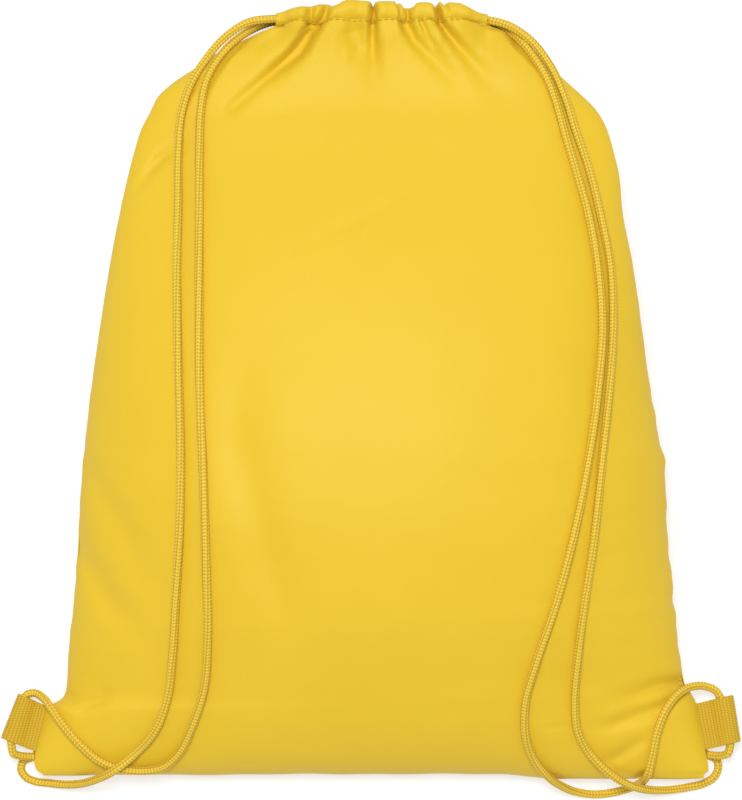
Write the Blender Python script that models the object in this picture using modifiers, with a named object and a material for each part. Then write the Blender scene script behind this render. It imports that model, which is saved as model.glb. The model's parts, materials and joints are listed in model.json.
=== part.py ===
"""Drawstring backpack, lying on its front panel and loosely filled.

The bag is two polyester panels sewn together along the sides and the bottom.
Its mouth is gathered on two hem tunnels.  Two cords run through both tunnels,
come out on opposite sides, and are tied at the bottom corners after one of
their strands has passed through a loop of webbing.

Frame: X across the bag, Y from the bottom seam to the mouth, Z up.
The origin is under the middle of the bag, on the surface it lies on.
All sizes below are in millimetres; MM turns them into metres.
"""
import math

import bmesh
import bpy
import numpy as np
from mathutils import Matrix, Vector

MM = 0.001

# Panels
BOTTOM_Y = -188.5            # bottom seam
MOUTH_Y = 175.9              # end of the panels, where the hem tunnels begin
MOUTH_SHIFT = 4.95           # the gathered mouth sits a little to the right
HALF_WIDTH = 163.0           # half the bag's width along the bottom seam
PANEL_WALL = 1.0
RIM_HALF_GAP = 0.9           # from the middle of the seam to each panel's inner rim
CROWN = 56.0                 # height of the filled bag above its seam
CROWN_Y = -40.0              # where the bag is thickest
NECK_CROWN = 8.0             # the same height at the mouth
FLAT_SHARE = 0.8             # share of the crown above which the bag rests flat
PANEL_COLUMNS = 22
PANEL_ROWS = 26
PANEL_ROW_CROWDING = 0.07    # draws the rows towards the bottom seam and the mouth

# Share of HALF_WIDTH against Y, from the bottom seam up over the shoulders
OUTLINE = (
    (BOTTOM_Y, 1.0), (BOTTOM_Y + 11.5, 1.0049), (BOTTOM_Y + 33.5, 0.9767),
    (BOTTOM_Y + 42.5, 0.9264), (BOTTOM_Y + 61.5, 0.9141), (-49.0, 0.8742),
    (29.0, 0.8098), (MOUTH_Y - 78.9, 0.7423), (MOUTH_Y - 45.9, 0.6871),
    (MOUTH_Y - 25.9, 0.5859), (MOUTH_Y, 0.31534),
)
# Height of the side seams above the ground against Y
SEAM_HEIGHT = (
    (BOTTOM_Y, 15.0), (BOTTOM_Y + 28.5, 15.0), (BOTTOM_Y + 78.5, 22.0), (-40.0, 31.0),
    (50.0, 33.0), (MOUTH_Y - 55.9, 27.0), (MOUTH_Y, 22.0),
)

# Hem tunnels
HEM_HALF_HEIGHT = 6.2        # along Y
HEM_HALF_DEPTH = 5.8         # along Z
HEM_WALL = 1.0
HEM_SPREAD = 8.6             # from the middle of the mouth to each tunnel's centre
HEM_SLIT = 15.4              # length of the side slit that lets the cord turn back
HEM_SIDES = 24
SLIT_OVERRUN = 1.0           # how far the slit's cutter runs past the tunnel
SLIT_RISE = 0.6              # from the tunnel's middle to the edge of the slit
GAP = 0.3                    # clearance between pieces that touch

# Overlock seams, stitching and bartacks
SEAM_INSET = 1.5
SEAM_WIDTH = 4.5
SEAM_THICKNESS = 1.0
SIDE_SEAM_LOW_Y = BOTTOM_Y + 38.5
SIDE_SEAM_HIGH_Y = MOUTH_Y - 7.4
THREAD_DIAMETER = 0.8
HEM_STITCH_DROP = 1.6        # from the panel's end down to the stitching
STITCH_INSET = 4.0
STITCH_LIFT = 0.25            # keeps the thread off the curved panel between points
STITCH_POINTS = 24
BARTACK = (6.0, 2.4, 1.2)

# Webbing loops
WEBBING_WIDTH = 23.0
WEBBING_WALL = 1.2
BEAD_RADIUS = 1.3            # folded root of the webbing, round about the hinge line
CORD_CLEARANCE = 0.7
EYE_START = 4.2              # from the hinge line to the start of the eye
EYE_START_RADIUS = 0.5
ANCHOR_GAP = 2.4             # from the hinge line to the webbing end in the seam
ANCHOR_LENGTH = 6.5
# Each loop's hinge line: how far above the bottom seam and how far out from the side
LOOPS = {
    "left": {"side": -1, "rise": 23.1, "out": 1.21, "tilt": 14.0, "reach": 14.5},
    "right": {"side": 1, "rise": 23.9, "out": 1.20, "tilt": 11.0, "reach": 15.15},
}
CORD_IN_LOOP = 9.6           # from the hinge line to the cord in the loop

# Cords
CORD_DIAMETER = 4.0
CORD_STEP = 11.0             # longest distance between two points of a cord's tube
SPLIT_GAP = 0.4
KNOT_HALF = (5.6, 5.4, 5.2)
KNOTS = {"left": (-161.0, -180.2, 5.6), "right": (160.0, -179.4, 5.6)}

# Each cord's route, chosen by hand: from the knot up the outer strand, through the
# back tunnel, round the side slit, back through the front tunnel, down the inner
# strand and up to the webbing loop.
CORD_ROUTES = {
    "left": (
        (-167.2, -180.8, 4.0), (-170.6, -182.4, 3.0), (-171.9, -186.2, 2.5),
        (-169.6, -190.2, 2.3), (-165.0, -192.4, 2.3), (-158.5, -193.2, 2.8),
        (-150.6, -193.8, 6.4), (-141.4, -192.9, 14.0), (-133.5, -190.3, 23.2),
        (-125.0, -185.7, 31.8), (-114.5, -177.2, 33.0), (-105.2, -166.3, 39.9),
        (-99.3, -151.0, 46.5), (-96.6, -131.0, 55.0), (-94.8, -103.0, 64.6),
        (-92.6, -68.0, 72.8), (-92.1, -30.0, 75.3), (-93.4, 15.0, 70.0),
        (-94.2, 60.0, 60.0), (-93.8, 92.0, 49.4), (-93.9, 115.0, 41.5),
        (-92.5, 133.5, 36.1), (-88.6, 147.2, 32.0), (-80.8, 160.5, 30.1),
        (-71.2, 171.5, 29.4), (-59.5, 178.8, 29.7), (-48.0, 180.3, 30.5),
        (-34.0, 180.0, 32.4), (-15.0, 181.1, 32.5), (5.0, 182.3, 32.8),
        (24.0, 183.8, 32.3), (32.0, 184.5, 31.2), (38.8, 184.6, 30.6),
        (44.9, 183.8, 28.1), (47.4, 182.6, 22.0), (44.9, 183.8, 15.9),
        (38.8, 184.6, 13.4), (32.0, 184.5, 12.9), (24.0, 183.9, 11.6),
        (5.0, 182.3, 11.1), (-15.0, 181.0, 11.4), (-34.0, 180.0, 11.6),
        (-46.6, 179.9, 13.6), (-54.2, 177.6, 17.3), (-62.6, 172.9, 23.5),
        (-69.8, 166.8, 28.4), (-76.2, 158.7, 30.1), (-80.8, 149.0, 33.2),
        (-83.0, 136.0, 37.4), (-83.6, 115.0, 44.0), (-83.5, 85.0, 55.1),
        (-83.4, 48.0, 67.1), (-83.0, 5.0, 75.8), (-81.2, -40.0, 79.5),
        (-79.8, -85.0, 73.9), (-79.3, -122.0, 63.3), (-81.5, -147.0, 51.8),
        (-87.2, -164.2, 43.5), (-93.6, -177.2, 34.9), (-101.6, -184.4, 29.0),
        (-111.5, -186.4, 25.2), (-122.5, -185.4, 26.4), (-132.5, -181.4, 27.1),
        (-142.5, -173.0, 28.5), (-151.0, -163.2, 27.3), (-156.6, -155.4, 24.2),
        (-160.4, -150.9, 19.0), (-164.6, -148.7, 15.8), (-168.4, -149.5, 15.0),
        (-169.85, -151.0, 15.0),
    ),
    "right": (
        (166.4, -180.1, 3.8), (169.2, -181.8, 3.0), (170.0, -186.0, 2.5),
        (167.9, -190.4, 2.3), (163.0, -193.4, 2.3), (155.5, -195.2, 2.8),
        (146.3, -196.4, 6.6), (136.8, -196.2, 14.0), (128.5, -194.4, 21.4),
        (120.6, -190.6, 26.6), (113.2, -185.0, 30.6), (105.6, -176.8, 33.8),
        (100.2, -166.5, 40.4), (98.6, -152.0, 46.4), (99.9, -132.0, 53.5),
        (102.9, -105.0, 60.9), (107.6, -72.0, 65.5), (111.4, -34.6, 65.8),
        (114.8, -2.0, 61.0), (117.0, 32.0, 54.2), (115.8, 60.0, 49.5),
        (111.0, 85.0, 45.5), (105.4, 107.6, 41.4), (99.2, 126.0, 38.2),
        (94.2, 142.0, 34.8), (87.0, 157.6, 30.7), (77.4, 169.9, 30.3),
        (67.2, 176.9, 29.9), (57.2, 179.6, 30.4), (45.9, 179.9, 30.5),
        (24.9, 181.0, 28.6), (4.9, 182.3, 28.3), (-14.1, 183.9, 28.8),
        (-22.0, 184.0, 29.4), (-28.9, 183.6, 29.6), (-35.0, 183.2, 27.7),
        (-37.5, 182.4, 22.0), (-35.0, 183.2, 16.3), (-28.9, 183.6, 14.4),
        (-22.0, 184.0, 14.5), (-14.1, 183.9, 15.4), (4.9, 182.3, 15.7),
        (24.9, 181.0, 15.4), (45.9, 179.9, 13.5), (56.6, 179.8, 14.0),
        (66.0, 175.2, 20.2), (73.6, 168.8, 28.0), (80.2, 160.1, 31.0),
        (86.0, 149.8, 33.7), (90.0, 138.8, 36.4), (94.4, 122.9, 40.1),
        (99.6, 105.4, 43.9), (105.2, 85.0, 48.1), (109.6, 60.0, 53.0),
        (111.8, 32.0, 57.5), (109.4, -2.0, 64.4), (104.2, -38.0, 69.8),
        (97.0, -74.0, 70.0), (88.4, -106.5, 65.8), (79.4, -134.0, 58.3),
        (74.6, -152.5, 50.8), (74.8, -168.0, 43.0), (78.8, -180.0, 34.1),
        (85.1, -188.2, 26.8), (92.5, -193.9, 15.5), (100.4, -197.4, 6.5),
        (109.4, -198.8, 2.5), (118.8, -197.8, 2.3), (126.4, -195.6, 4.6),
        (131.0, -193.4, 9.6), (133.2, -191.2, 17.2), (135.2, -187.0, 25.6),
        (136.8, -179.4, 28.8), (139.0, -168.0, 31.2), (143.2, -156.6, 31.7),
        (149.4, -148.9, 26.9), (156.4, -145.5, 20.0), (163.4, -145.4, 16.0),
        (168.6, -147.8, 15.0), (170.4, -150.6, 15.0),
    ),
}
# From the lower end of the webbing loop to the knot
TAIL_ROUTES = {
    "left": ((-175.9, -175.2, 15.0), (-175.3, -178.1, 14.0), (-172.0, -179.5, 11.4),
             (-166.8, -180.0, 8.9)),
    "right": ((175.2, -175.2, 15.0), (174.4, -178.0, 14.0), (171.0, -179.4, 11.4),
              (165.8, -179.2, 8.9)),
}

YELLOW_CLOTH = (0.90, 0.62, 0.055)
YELLOW_CORD = (0.87, 0.58, 0.05)
YELLOW_WEBBING = (0.74, 0.47, 0.035)
YELLOW_THREAD = (0.80, 0.52, 0.04)

collection = None


def start_scene():
    """Empty the scene and make the collection that holds the parts."""
    global collection
    for old in list(bpy.data.objects):
        bpy.data.objects.remove(old, do_unlink=True)
    collection = bpy.data.collections.new("drawstring_backpack")
    bpy.context.scene.collection.children.link(collection)
    cutters = bpy.data.collections.new("cutters")
    bpy.context.scene.collection.children.link(cutters)
    return cutters


def make_material(name, colour, roughness):
    """Plain cloth-like finish: not metallic, no clear coat."""
    material = bpy.data.materials.new(name)
    material.use_nodes = True
    shader = material.node_tree.nodes["Principled BSDF"]
    shader.inputs["Base Color"].default_value = (*colour, 1.0)
    shader.inputs["Roughness"].default_value = roughness
    shader.inputs["Metallic"].default_value = 0.0
    return material


def add_object(name, data, material, home=None):
    """Put a mesh or a curve in the parts' collection with its material."""
    piece = bpy.data.objects.new(name, data)
    (home or collection).objects.link(piece)
    data.materials.append(material)
    return piece


def through(points, y):
    """Smooth curve through (y, value) points that never overshoots them."""
    xs = np.array([p[0] for p in points])
    values = np.array([p[1] for p in points])
    steps = np.diff(xs)
    slopes = np.diff(values) / steps
    tangents = np.zeros(len(xs))
    tangents[0], tangents[-1] = slopes[0], slopes[-1]
    for i in range(1, len(xs) - 1):
        if slopes[i - 1] * slopes[i] > 0:
            w1 = 2 * steps[i] + steps[i - 1]
            w2 = steps[i] + 2 * steps[i - 1]
            tangents[i] = (w1 + w2) / (w1 / slopes[i - 1] + w2 / slopes[i])
    i = int(np.clip(np.searchsorted(xs, y) - 1, 0, len(steps) - 1))
    t = (y - xs[i]) / steps[i]
    return float((2 * t**3 - 3 * t**2 + 1) * values[i]
                 + (t**3 - 2 * t**2 + t) * steps[i] * tangents[i]
                 + (3 * t**2 - 2 * t**3) * values[i + 1]
                 + (t**3 - t**2) * steps[i] * tangents[i + 1])


def half_width(y):
    return HALF_WIDTH * through(OUTLINE, y)


def seam_height(y):
    return through(SEAM_HEIGHT, y)


def centre_x(y):
    """Middle of the bag at y: it drifts towards the mouth's own middle."""
    t = min(max((y - 60.0) / (MOUTH_Y - 60.0), 0.0), 1.0)
    return MOUTH_SHIFT * t * t * (3 - 2 * t)


def crown_height(y):
    """Height of the back panel above the seam along the middle of the bag."""
    if y < CROWN_Y:
        t = min((CROWN_Y - y) / (CROWN_Y - BOTTOM_Y), 1.0)
        return CROWN * (1 - t**2.4) ** 0.62
    t = (y - CROWN_Y) / (MOUTH_Y - CROWN_Y)
    return NECK_CROWN + (CROWN - NECK_CROWN) * (0.5 + 0.5 * math.cos(math.pi * t)) ** 0.85


def bulge(u, y):
    """Rise above the seam at the share u of the half width."""
    return crown_height(y) * (1 - min(abs(u), 1.0) ** 2.2) ** 0.7


def back_height(u, y):
    return seam_height(y) + RIM_HALF_GAP + PANEL_WALL + bulge(u, y)


def front_height(u, y):
    """The front panel curves down from the seam and rests flat on the ground."""
    filled = min(bulge(u, y) / (FLAT_SHARE * CROWN), 1.0)
    return (seam_height(y) - RIM_HALF_GAP - PANEL_WALL) * (1 - filled) ** 2.5


def panel_point(u, y, height):
    """Point of a panel in metres, from u in -1..1 across and y in millimetres."""
    return Vector((centre_x(y) + u * half_width(y), y, height(u, y))) * MM


def make_panel(name, height, facing_up, material):
    """Grid bent to the filled shape, with the cloth's thickness on its inside."""
    mesh = bpy.data.meshes.new(name)
    bm = bmesh.new()
    bmesh.ops.create_grid(bm, x_segments=PANEL_COLUMNS, y_segments=PANEL_ROWS, size=1.0)
    for vert in bm.verts:
        u = math.sin(vert.co.x * math.pi / 2)
        t = (vert.co.y + 1) / 2
        t -= PANEL_ROW_CROWDING * math.sin(2 * math.pi * t)
        vert.co = panel_point(u, BOTTOM_Y + t * (MOUTH_Y - BOTTOM_Y), height)
    if not facing_up:
        bmesh.ops.reverse_faces(bm, faces=bm.faces)
    bm.to_mesh(mesh)
    bm.free()
    mesh.shade_smooth()
    panel = add_object(name, mesh, material)
    solidify = panel.modifiers.new("cloth", "SOLIDIFY")
    solidify.thickness = PANEL_WALL * MM
    solidify.offset = -1.0
    return panel


def hem_outline(half_height, half_depth):
    """Flattened round section of a hem tunnel, in the plane across the tunnel."""
    points = []
    for i in range(HEM_SIDES):
        angle = 2 * math.pi * (i + 0.5) / HEM_SIDES
        c, s = math.cos(angle), math.sin(angle)
        points.append((math.copysign(abs(c) ** 0.8, c) * half_height,
                       math.copysign(abs(s) ** 0.8, s) * half_depth))
    return points


def flat_curve(name, outlines, half_length):
    """Filled 2D curve from closed outlines in millimetres, extruded both ways."""
    curve = bpy.data.curves.new(name, "CURVE")
    curve.dimensions = "2D"
    curve.fill_mode = "BOTH"
    curve.extrude = half_length * MM
    for outline in outlines:
        spline = curve.splines.new("POLY")
        spline.points.add(len(outline) - 1)
        for point, (x, y) in zip(spline.points, outline):
            point.co = (x * MM, y * MM, 0.0, 1.0)
        spline.use_cyclic_u = True
    return curve


def curve_to_mesh(piece):
    """Turn a curve object into a mesh object whose caps are welded on."""
    graph = bpy.context.evaluated_depsgraph_get()
    mesh = bpy.data.meshes.new_from_object(piece.evaluated_get(graph))
    bm = bmesh.new()
    bm.from_mesh(mesh)
    bmesh.ops.remove_doubles(bm, verts=bm.verts, dist=0.00001)
    bm.to_mesh(mesh)
    bm.free()
    name, matrix, curve = piece.name, piece.matrix_world.copy(), piece.data
    home = piece.users_collection[0]
    bpy.data.objects.remove(piece, do_unlink=True)
    bpy.data.curves.remove(curve)
    solid = bpy.data.objects.new(name, mesh)
    home.objects.link(solid)
    solid.matrix_world = matrix
    return solid


def make_hem_tunnel(name, side, material, cutters):
    """Tunnel along X; side is 1 for the back panel's, -1 for the front panel's.

    The wall that faces the other tunnel is cut away at both ends, where the
    cord turns back from one tunnel into the other.
    """
    half_length = half_width(MOUTH_Y)
    middle = Vector((MOUTH_SHIFT, MOUTH_Y + GAP + HEM_HALF_HEIGHT,
                     seam_height(MOUTH_Y) + side * HEM_SPREAD))
    outlines = (hem_outline(HEM_HALF_HEIGHT, HEM_HALF_DEPTH),
                hem_outline(HEM_HALF_HEIGHT - HEM_WALL, HEM_HALF_DEPTH - HEM_WALL))
    tunnel = add_object(name, flat_curve(name, outlines, half_length), material)
    across = Matrix(((0, 0, 1), (1, 0, 0), (0, 1, 0))).to_4x4()
    tunnel.matrix_world = Matrix.Translation(middle * MM) @ across
    bpy.context.view_layer.update()
    tunnel = curve_to_mesh(tunnel)
    for end in (-1, 1):
        centre = Vector((middle.x + end * (half_length - HEM_SLIT / 2 + SLIT_OVERRUN),
                         middle.y,
                         middle.z - side * (HEM_HALF_DEPTH / 2 + SLIT_RISE)))
        mesh = bpy.data.meshes.new(name + "_slit")
        bm = bmesh.new()
        size = Vector((HEM_SLIT + 2 * SLIT_OVERRUN, 2 * (HEM_HALF_HEIGHT + SLIT_OVERRUN),
                       HEM_HALF_DEPTH)) * MM
        bmesh.ops.create_cube(bm, size=1.0, matrix=Matrix.Diagonal((*size, 1.0)))
        bm.to_mesh(mesh)
        bm.free()
        cutter = add_object(f"{name}_slit_{'right' if end > 0 else 'left'}", mesh,
                            material, cutters)
        cutter.location = centre * MM
        cutter.hide_render = True
        cutter.display_type = "WIRE"
        slit = tunnel.modifiers.new("slit", "BOOLEAN")
        slit.operation = "DIFFERENCE"
        slit.solver = "EXACT"
        slit.object = cutter
    return tunnel


def make_tube(name, points, diameter, material, resolution=2):
    """Round tube of the given diameter along points in millimetres, with caps."""
    curve = bpy.data.curves.new(name, "CURVE")
    curve.dimensions = "3D"
    curve.bevel_depth = diameter / 2 * MM
    curve.bevel_resolution = resolution
    curve.use_fill_caps = True
    spline = curve.splines.new("POLY")
    spline.points.add(len(points) - 1)
    for point, place in zip(spline.points, points):
        point.co = (*(Vector(place) * MM), 1.0)
    return add_object(name, curve, material)


def make_hem_stitching(name, height, side, material):
    """Line of thread on the outside of a panel, just below its hem tunnel."""
    y = MOUTH_Y - HEM_STITCH_DROP
    limit = 1 - STITCH_INSET / half_width(y)
    lift = THREAD_DIAMETER / 2 + GAP + STITCH_LIFT
    points = []
    for i in range(STITCH_POINTS):
        u = math.sin(math.asin(limit) * (2 * i / (STITCH_POINTS - 1) - 1))
        points.append((centre_x(y) + u * half_width(y), y, height(u, y) + side * lift))
    return make_tube(name, points, THREAD_DIAMETER, material, resolution=1)


def make_strip(name, rows, material):
    """Flat strip of overlocked edge from rows of (left, right) points."""
    mesh = bpy.data.meshes.new(name)
    bm = bmesh.new()
    bmesh.ops.create_grid(bm, x_segments=1, y_segments=len(rows) - 1, size=1.0)
    for vert in bm.verts:
        row = round((vert.co.y + 1) / 2 * (len(rows) - 1))
        vert.co = Vector(rows[row][1 if vert.co.x > 0 else 0]) * MM
    bm.to_mesh(mesh)
    bm.free()
    strip = add_object(name, mesh, material)
    solidify = strip.modifiers.new("overlock", "SOLIDIFY")
    solidify.thickness = SEAM_THICKNESS * MM
    solidify.offset = 0.0
    return strip


def make_side_seam(name, side, material):
    """Seam allowance between the panels along one side."""
    rows = []
    for i in range(25):
        y = SIDE_SEAM_LOW_Y + (SIDE_SEAM_HIGH_Y - SIDE_SEAM_LOW_Y) * i / 24
        outer = half_width(y) - SEAM_INSET
        pair = [(centre_x(y) + side * (outer - SEAM_WIDTH), y, seam_height(y)),
                (centre_x(y) + side * outer, y, seam_height(y))]
        rows.append(pair if side > 0 else pair[::-1])
    return make_strip(name, rows, material)


def make_bottom_seam(name, material):
    """Seam allowance between the panels along the bottom."""
    low = BOTTOM_Y + SEAM_INSET
    high = low + SEAM_WIDTH
    reach = half_width(BOTTOM_Y) - SEAM_INSET
    rows = []
    for i in range(13):
        x = -reach + 2 * reach * i / 12
        rows.append([(x, high, seam_height(high)), (x, low, seam_height(low))])
    return make_strip(name, rows, material)


def make_box(name, size, matrix, material):
    """Box of the given size in millimetres, placed by its matrix."""
    mesh = bpy.data.meshes.new(name)
    bm = bmesh.new()
    scale = Matrix.Diagonal((size[0] * MM, size[1] * MM, size[2] * MM, 1.0))
    bmesh.ops.create_cube(bm, size=1.0, matrix=scale)
    bm.to_mesh(mesh)
    bm.free()
    box = add_object(name, mesh, material)
    box.matrix_world = matrix
    return box


def loop_frame(loop):
    """Frame on the hinge line: X out from the bag, Y up, Z along the seam."""
    tilt = math.radians(loop["tilt"])
    out = Vector((loop["side"] * math.cos(tilt), math.sin(tilt), 0.0))
    up = Vector((0.0, 0.0, 1.0))
    along = out.cross(up)
    turn = Matrix((out, up, along)).transposed().to_4x4()
    y = BOTTOM_Y + loop["rise"]
    hinge = Vector((loop["side"] * (half_width(y) + loop["out"]), y, seam_height(y)))
    return Matrix.Translation(hinge * MM) @ turn


def belt(start_x, start_radius, end_x, end_radius, steps=8):
    """Outline of two round ends joined by their common tangents."""
    lean = math.asin((end_radius - start_radius) / (end_x - start_x))
    points = []
    for i in range(2 * steps + 1):
        angle = -(math.pi / 2 + lean) + (math.pi + 2 * lean) * i / (2 * steps)
        points.append((end_x + end_radius * math.cos(angle), end_radius * math.sin(angle)))
    for i in range(steps + 1):
        angle = math.pi / 2 + lean + (math.pi - 2 * lean) * i / steps
        points.append((start_x + start_radius * math.cos(angle),
                       start_radius * math.sin(angle)))
    return points


def make_webbing_loop(name, loop, material):
    """Folded webbing: round root on the hinge line, open eye for the cord."""
    eye_radius = CORD_DIAMETER / 2 + CORD_CLEARANCE
    fold_radius = eye_radius + WEBBING_WALL
    fold_x = loop["reach"] - fold_radius
    outlines = (belt(0.0, BEAD_RADIUS, fold_x, fold_radius),
                belt(EYE_START, EYE_START_RADIUS, fold_x, eye_radius))
    webbing = add_object(name, flat_curve(name, outlines, WEBBING_WIDTH / 2), material)
    webbing.matrix_world = loop_frame(loop)
    return webbing


def smooth_route(points):
    """Points along a smooth curve through the route's points, evenly close."""
    places = [Vector(p) for p in points]
    spans = [(b - a).length for a, b in zip(places, places[1:])]
    slopes = [(b - a) / d for a, b, d in zip(places, places[1:], spans)]
    tangents = [slopes[0]]
    for i in range(1, len(places) - 1):
        weight = spans[i] / (spans[i - 1] + spans[i])
        tangents.append(slopes[i - 1] * weight + slopes[i] * (1 - weight))
    tangents.append(slopes[-1])
    result = []
    for i, span in enumerate(spans):
        count = max(1, math.ceil(span / CORD_STEP))
        for k in range(count):
            t = k / count
            result.append(places[i] * (2 * t**3 - 3 * t**2 + 1)
                          + tangents[i] * span * (t**3 - 2 * t**2 + t)
                          + places[i + 1] * (3 * t**2 - 2 * t**3)
                          + tangents[i + 1] * span * (t**3 - t**2))
    result.append(places[-1])
    return result


def make_cord_in_loop(name, loop, material):
    """Straight stretch of cord that the webbing loop carries."""
    frame = loop_frame(loop)
    half = WEBBING_WIDTH / 2 - SPLIT_GAP
    points = []
    for i in range(3):
        place = frame @ (Vector((CORD_IN_LOOP, 0.0, half * (i - 1))) * MM)
        points.append(place / MM)
    return make_tube(name, points, CORD_DIAMETER, material)


def make_knot(name, centre, material):
    """Outer shape of the knot that ties both ends of a cord together."""
    mesh = bpy.data.meshes.new(name)
    bm = bmesh.new()
    bmesh.ops.create_uvsphere(bm, u_segments=16, v_segments=10, radius=1.0)
    bmesh.ops.scale(bm, vec=Vector(KNOT_HALF) * MM, verts=bm.verts)
    bm.to_mesh(mesh)
    bm.free()
    mesh.shade_smooth()
    knot = add_object(name, mesh, material)
    knot.location = Vector(centre) * MM
    return knot


def main():
    cutters = start_scene()
    cloth = make_material("polyester_cloth", YELLOW_CLOTH, 0.6)
    cord_finish = make_material("knitted_cord", YELLOW_CORD, 0.7)
    webbing_finish = make_material("ribbed_webbing", YELLOW_WEBBING, 0.75)
    thread = make_material("sewing_thread", YELLOW_THREAD, 0.65)

    make_panel("back_panel", back_height, True, cloth)
    make_panel("front_panel", front_height, False, cloth)
    make_hem_tunnel("back_hem_tunnel", 1, cloth, cutters)
    make_hem_tunnel("front_hem_tunnel", -1, cloth, cutters)
    make_hem_stitching("back_hem_stitching", back_height, 1, thread)
    make_hem_stitching("front_hem_stitching", front_height, -1, thread)
    make_bottom_seam("bottom_seam", thread)

    for hand, loop in LOOPS.items():
        side = loop["side"]
        make_side_seam(f"{hand}_side_seam", side, thread)
        y = SIDE_SEAM_HIGH_Y + GAP + 1.6
        inset = half_width(y) - SEAM_INSET - BARTACK[0] / 2 - 2.0
        place = Vector((centre_x(y) + side * inset, y, seam_height(y))) * MM
        make_box(f"{hand}_mouth_bartack", BARTACK, Matrix.Translation(place), thread)

        frame = loop_frame(loop)
        middle = Vector((-ANCHOR_GAP - ANCHOR_LENGTH / 2, 0.0, 0.0)) * MM
        make_box(f"{hand}_loop_anchor", (ANCHOR_LENGTH, SEAM_THICKNESS, WEBBING_WIDTH - 2.0),
                 frame @ Matrix.Translation(middle), webbing_finish)
        make_webbing_loop(f"{hand}_webbing_loop", loop, webbing_finish)
        make_cord_in_loop(f"{hand}_cord_in_loop", loop, cord_finish)
        make_tube(f"{hand}_cord", smooth_route(CORD_ROUTES[hand]), CORD_DIAMETER, cord_finish)
        make_tube(f"{hand}_cord_tail", smooth_route(TAIL_ROUTES[hand]), CORD_DIAMETER,
                  cord_finish)
        make_knot(f"{hand}_knot", KNOTS[hand], cord_finish)


main()
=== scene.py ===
"""Drawstring backpack: woven panels, gathered hems, knitted cords, webbing loops.

Shapes are worked out in millimetres and put into meshes in metres. X runs to the
right, Y from the bottom seam to the mouth, Z up through the bag's thickness.
"""

import json
import logging
import math
from dataclasses import dataclass
from enum import Enum
from typing import Any, Sequence

import bpy
import numpy as np
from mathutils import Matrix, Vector


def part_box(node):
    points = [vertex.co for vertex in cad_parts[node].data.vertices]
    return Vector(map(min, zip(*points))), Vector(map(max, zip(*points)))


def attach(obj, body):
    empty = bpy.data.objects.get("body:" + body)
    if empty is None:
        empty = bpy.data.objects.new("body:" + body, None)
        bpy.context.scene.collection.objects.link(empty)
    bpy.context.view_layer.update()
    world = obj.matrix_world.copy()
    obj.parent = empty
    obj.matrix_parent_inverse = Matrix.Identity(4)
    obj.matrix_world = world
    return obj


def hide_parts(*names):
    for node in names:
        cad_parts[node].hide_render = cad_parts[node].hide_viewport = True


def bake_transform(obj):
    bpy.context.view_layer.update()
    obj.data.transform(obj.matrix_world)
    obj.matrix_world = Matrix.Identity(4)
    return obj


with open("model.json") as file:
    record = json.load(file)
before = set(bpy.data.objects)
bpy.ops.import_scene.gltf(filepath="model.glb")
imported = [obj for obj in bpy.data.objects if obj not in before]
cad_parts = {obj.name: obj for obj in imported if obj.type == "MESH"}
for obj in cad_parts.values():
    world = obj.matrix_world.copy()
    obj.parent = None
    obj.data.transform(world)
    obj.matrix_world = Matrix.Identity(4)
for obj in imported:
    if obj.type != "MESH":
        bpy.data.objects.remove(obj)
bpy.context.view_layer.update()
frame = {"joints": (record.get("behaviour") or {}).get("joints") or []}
MM = 0.001
GROUND_GAP = 0.05    # millimetres between the cloth and the ground
WHITE = "FFFFFF"
LOG = logging.getLogger("drawstring_backpack")
Points = Sequence[tuple[float, float]]


class Hand(Enum):
    """Side of the bag, as seen from above with the mouth away from the viewer."""

    LEFT = "left"
    RIGHT = "right"

    @property
    def sign(self) -> int:
        """Direction of X towards this side."""
        return -1 if self is Hand.LEFT else 1


class Face(Enum):
    """Which of the two panels."""

    BACK = "back"
    FRONT = "front"

    @property
    def sign(self) -> int:
        """Direction of Z towards this panel's outside."""
        return 1 if self is Face.BACK else -1


class Draw(Enum):
    """Seed of each random pattern, so that it comes out the same every time."""

    SLOW_SWELL = 3
    LEFT_PUCKERS = 5
    RIGHT_PUCKERS = 9
    SMALL_SWELL = 11
    BOTTOM_GATHERS = 17
    BOTTOM_EDGE = 23
    CRIMPS = 31
    HEM_SIDES = 41


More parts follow.
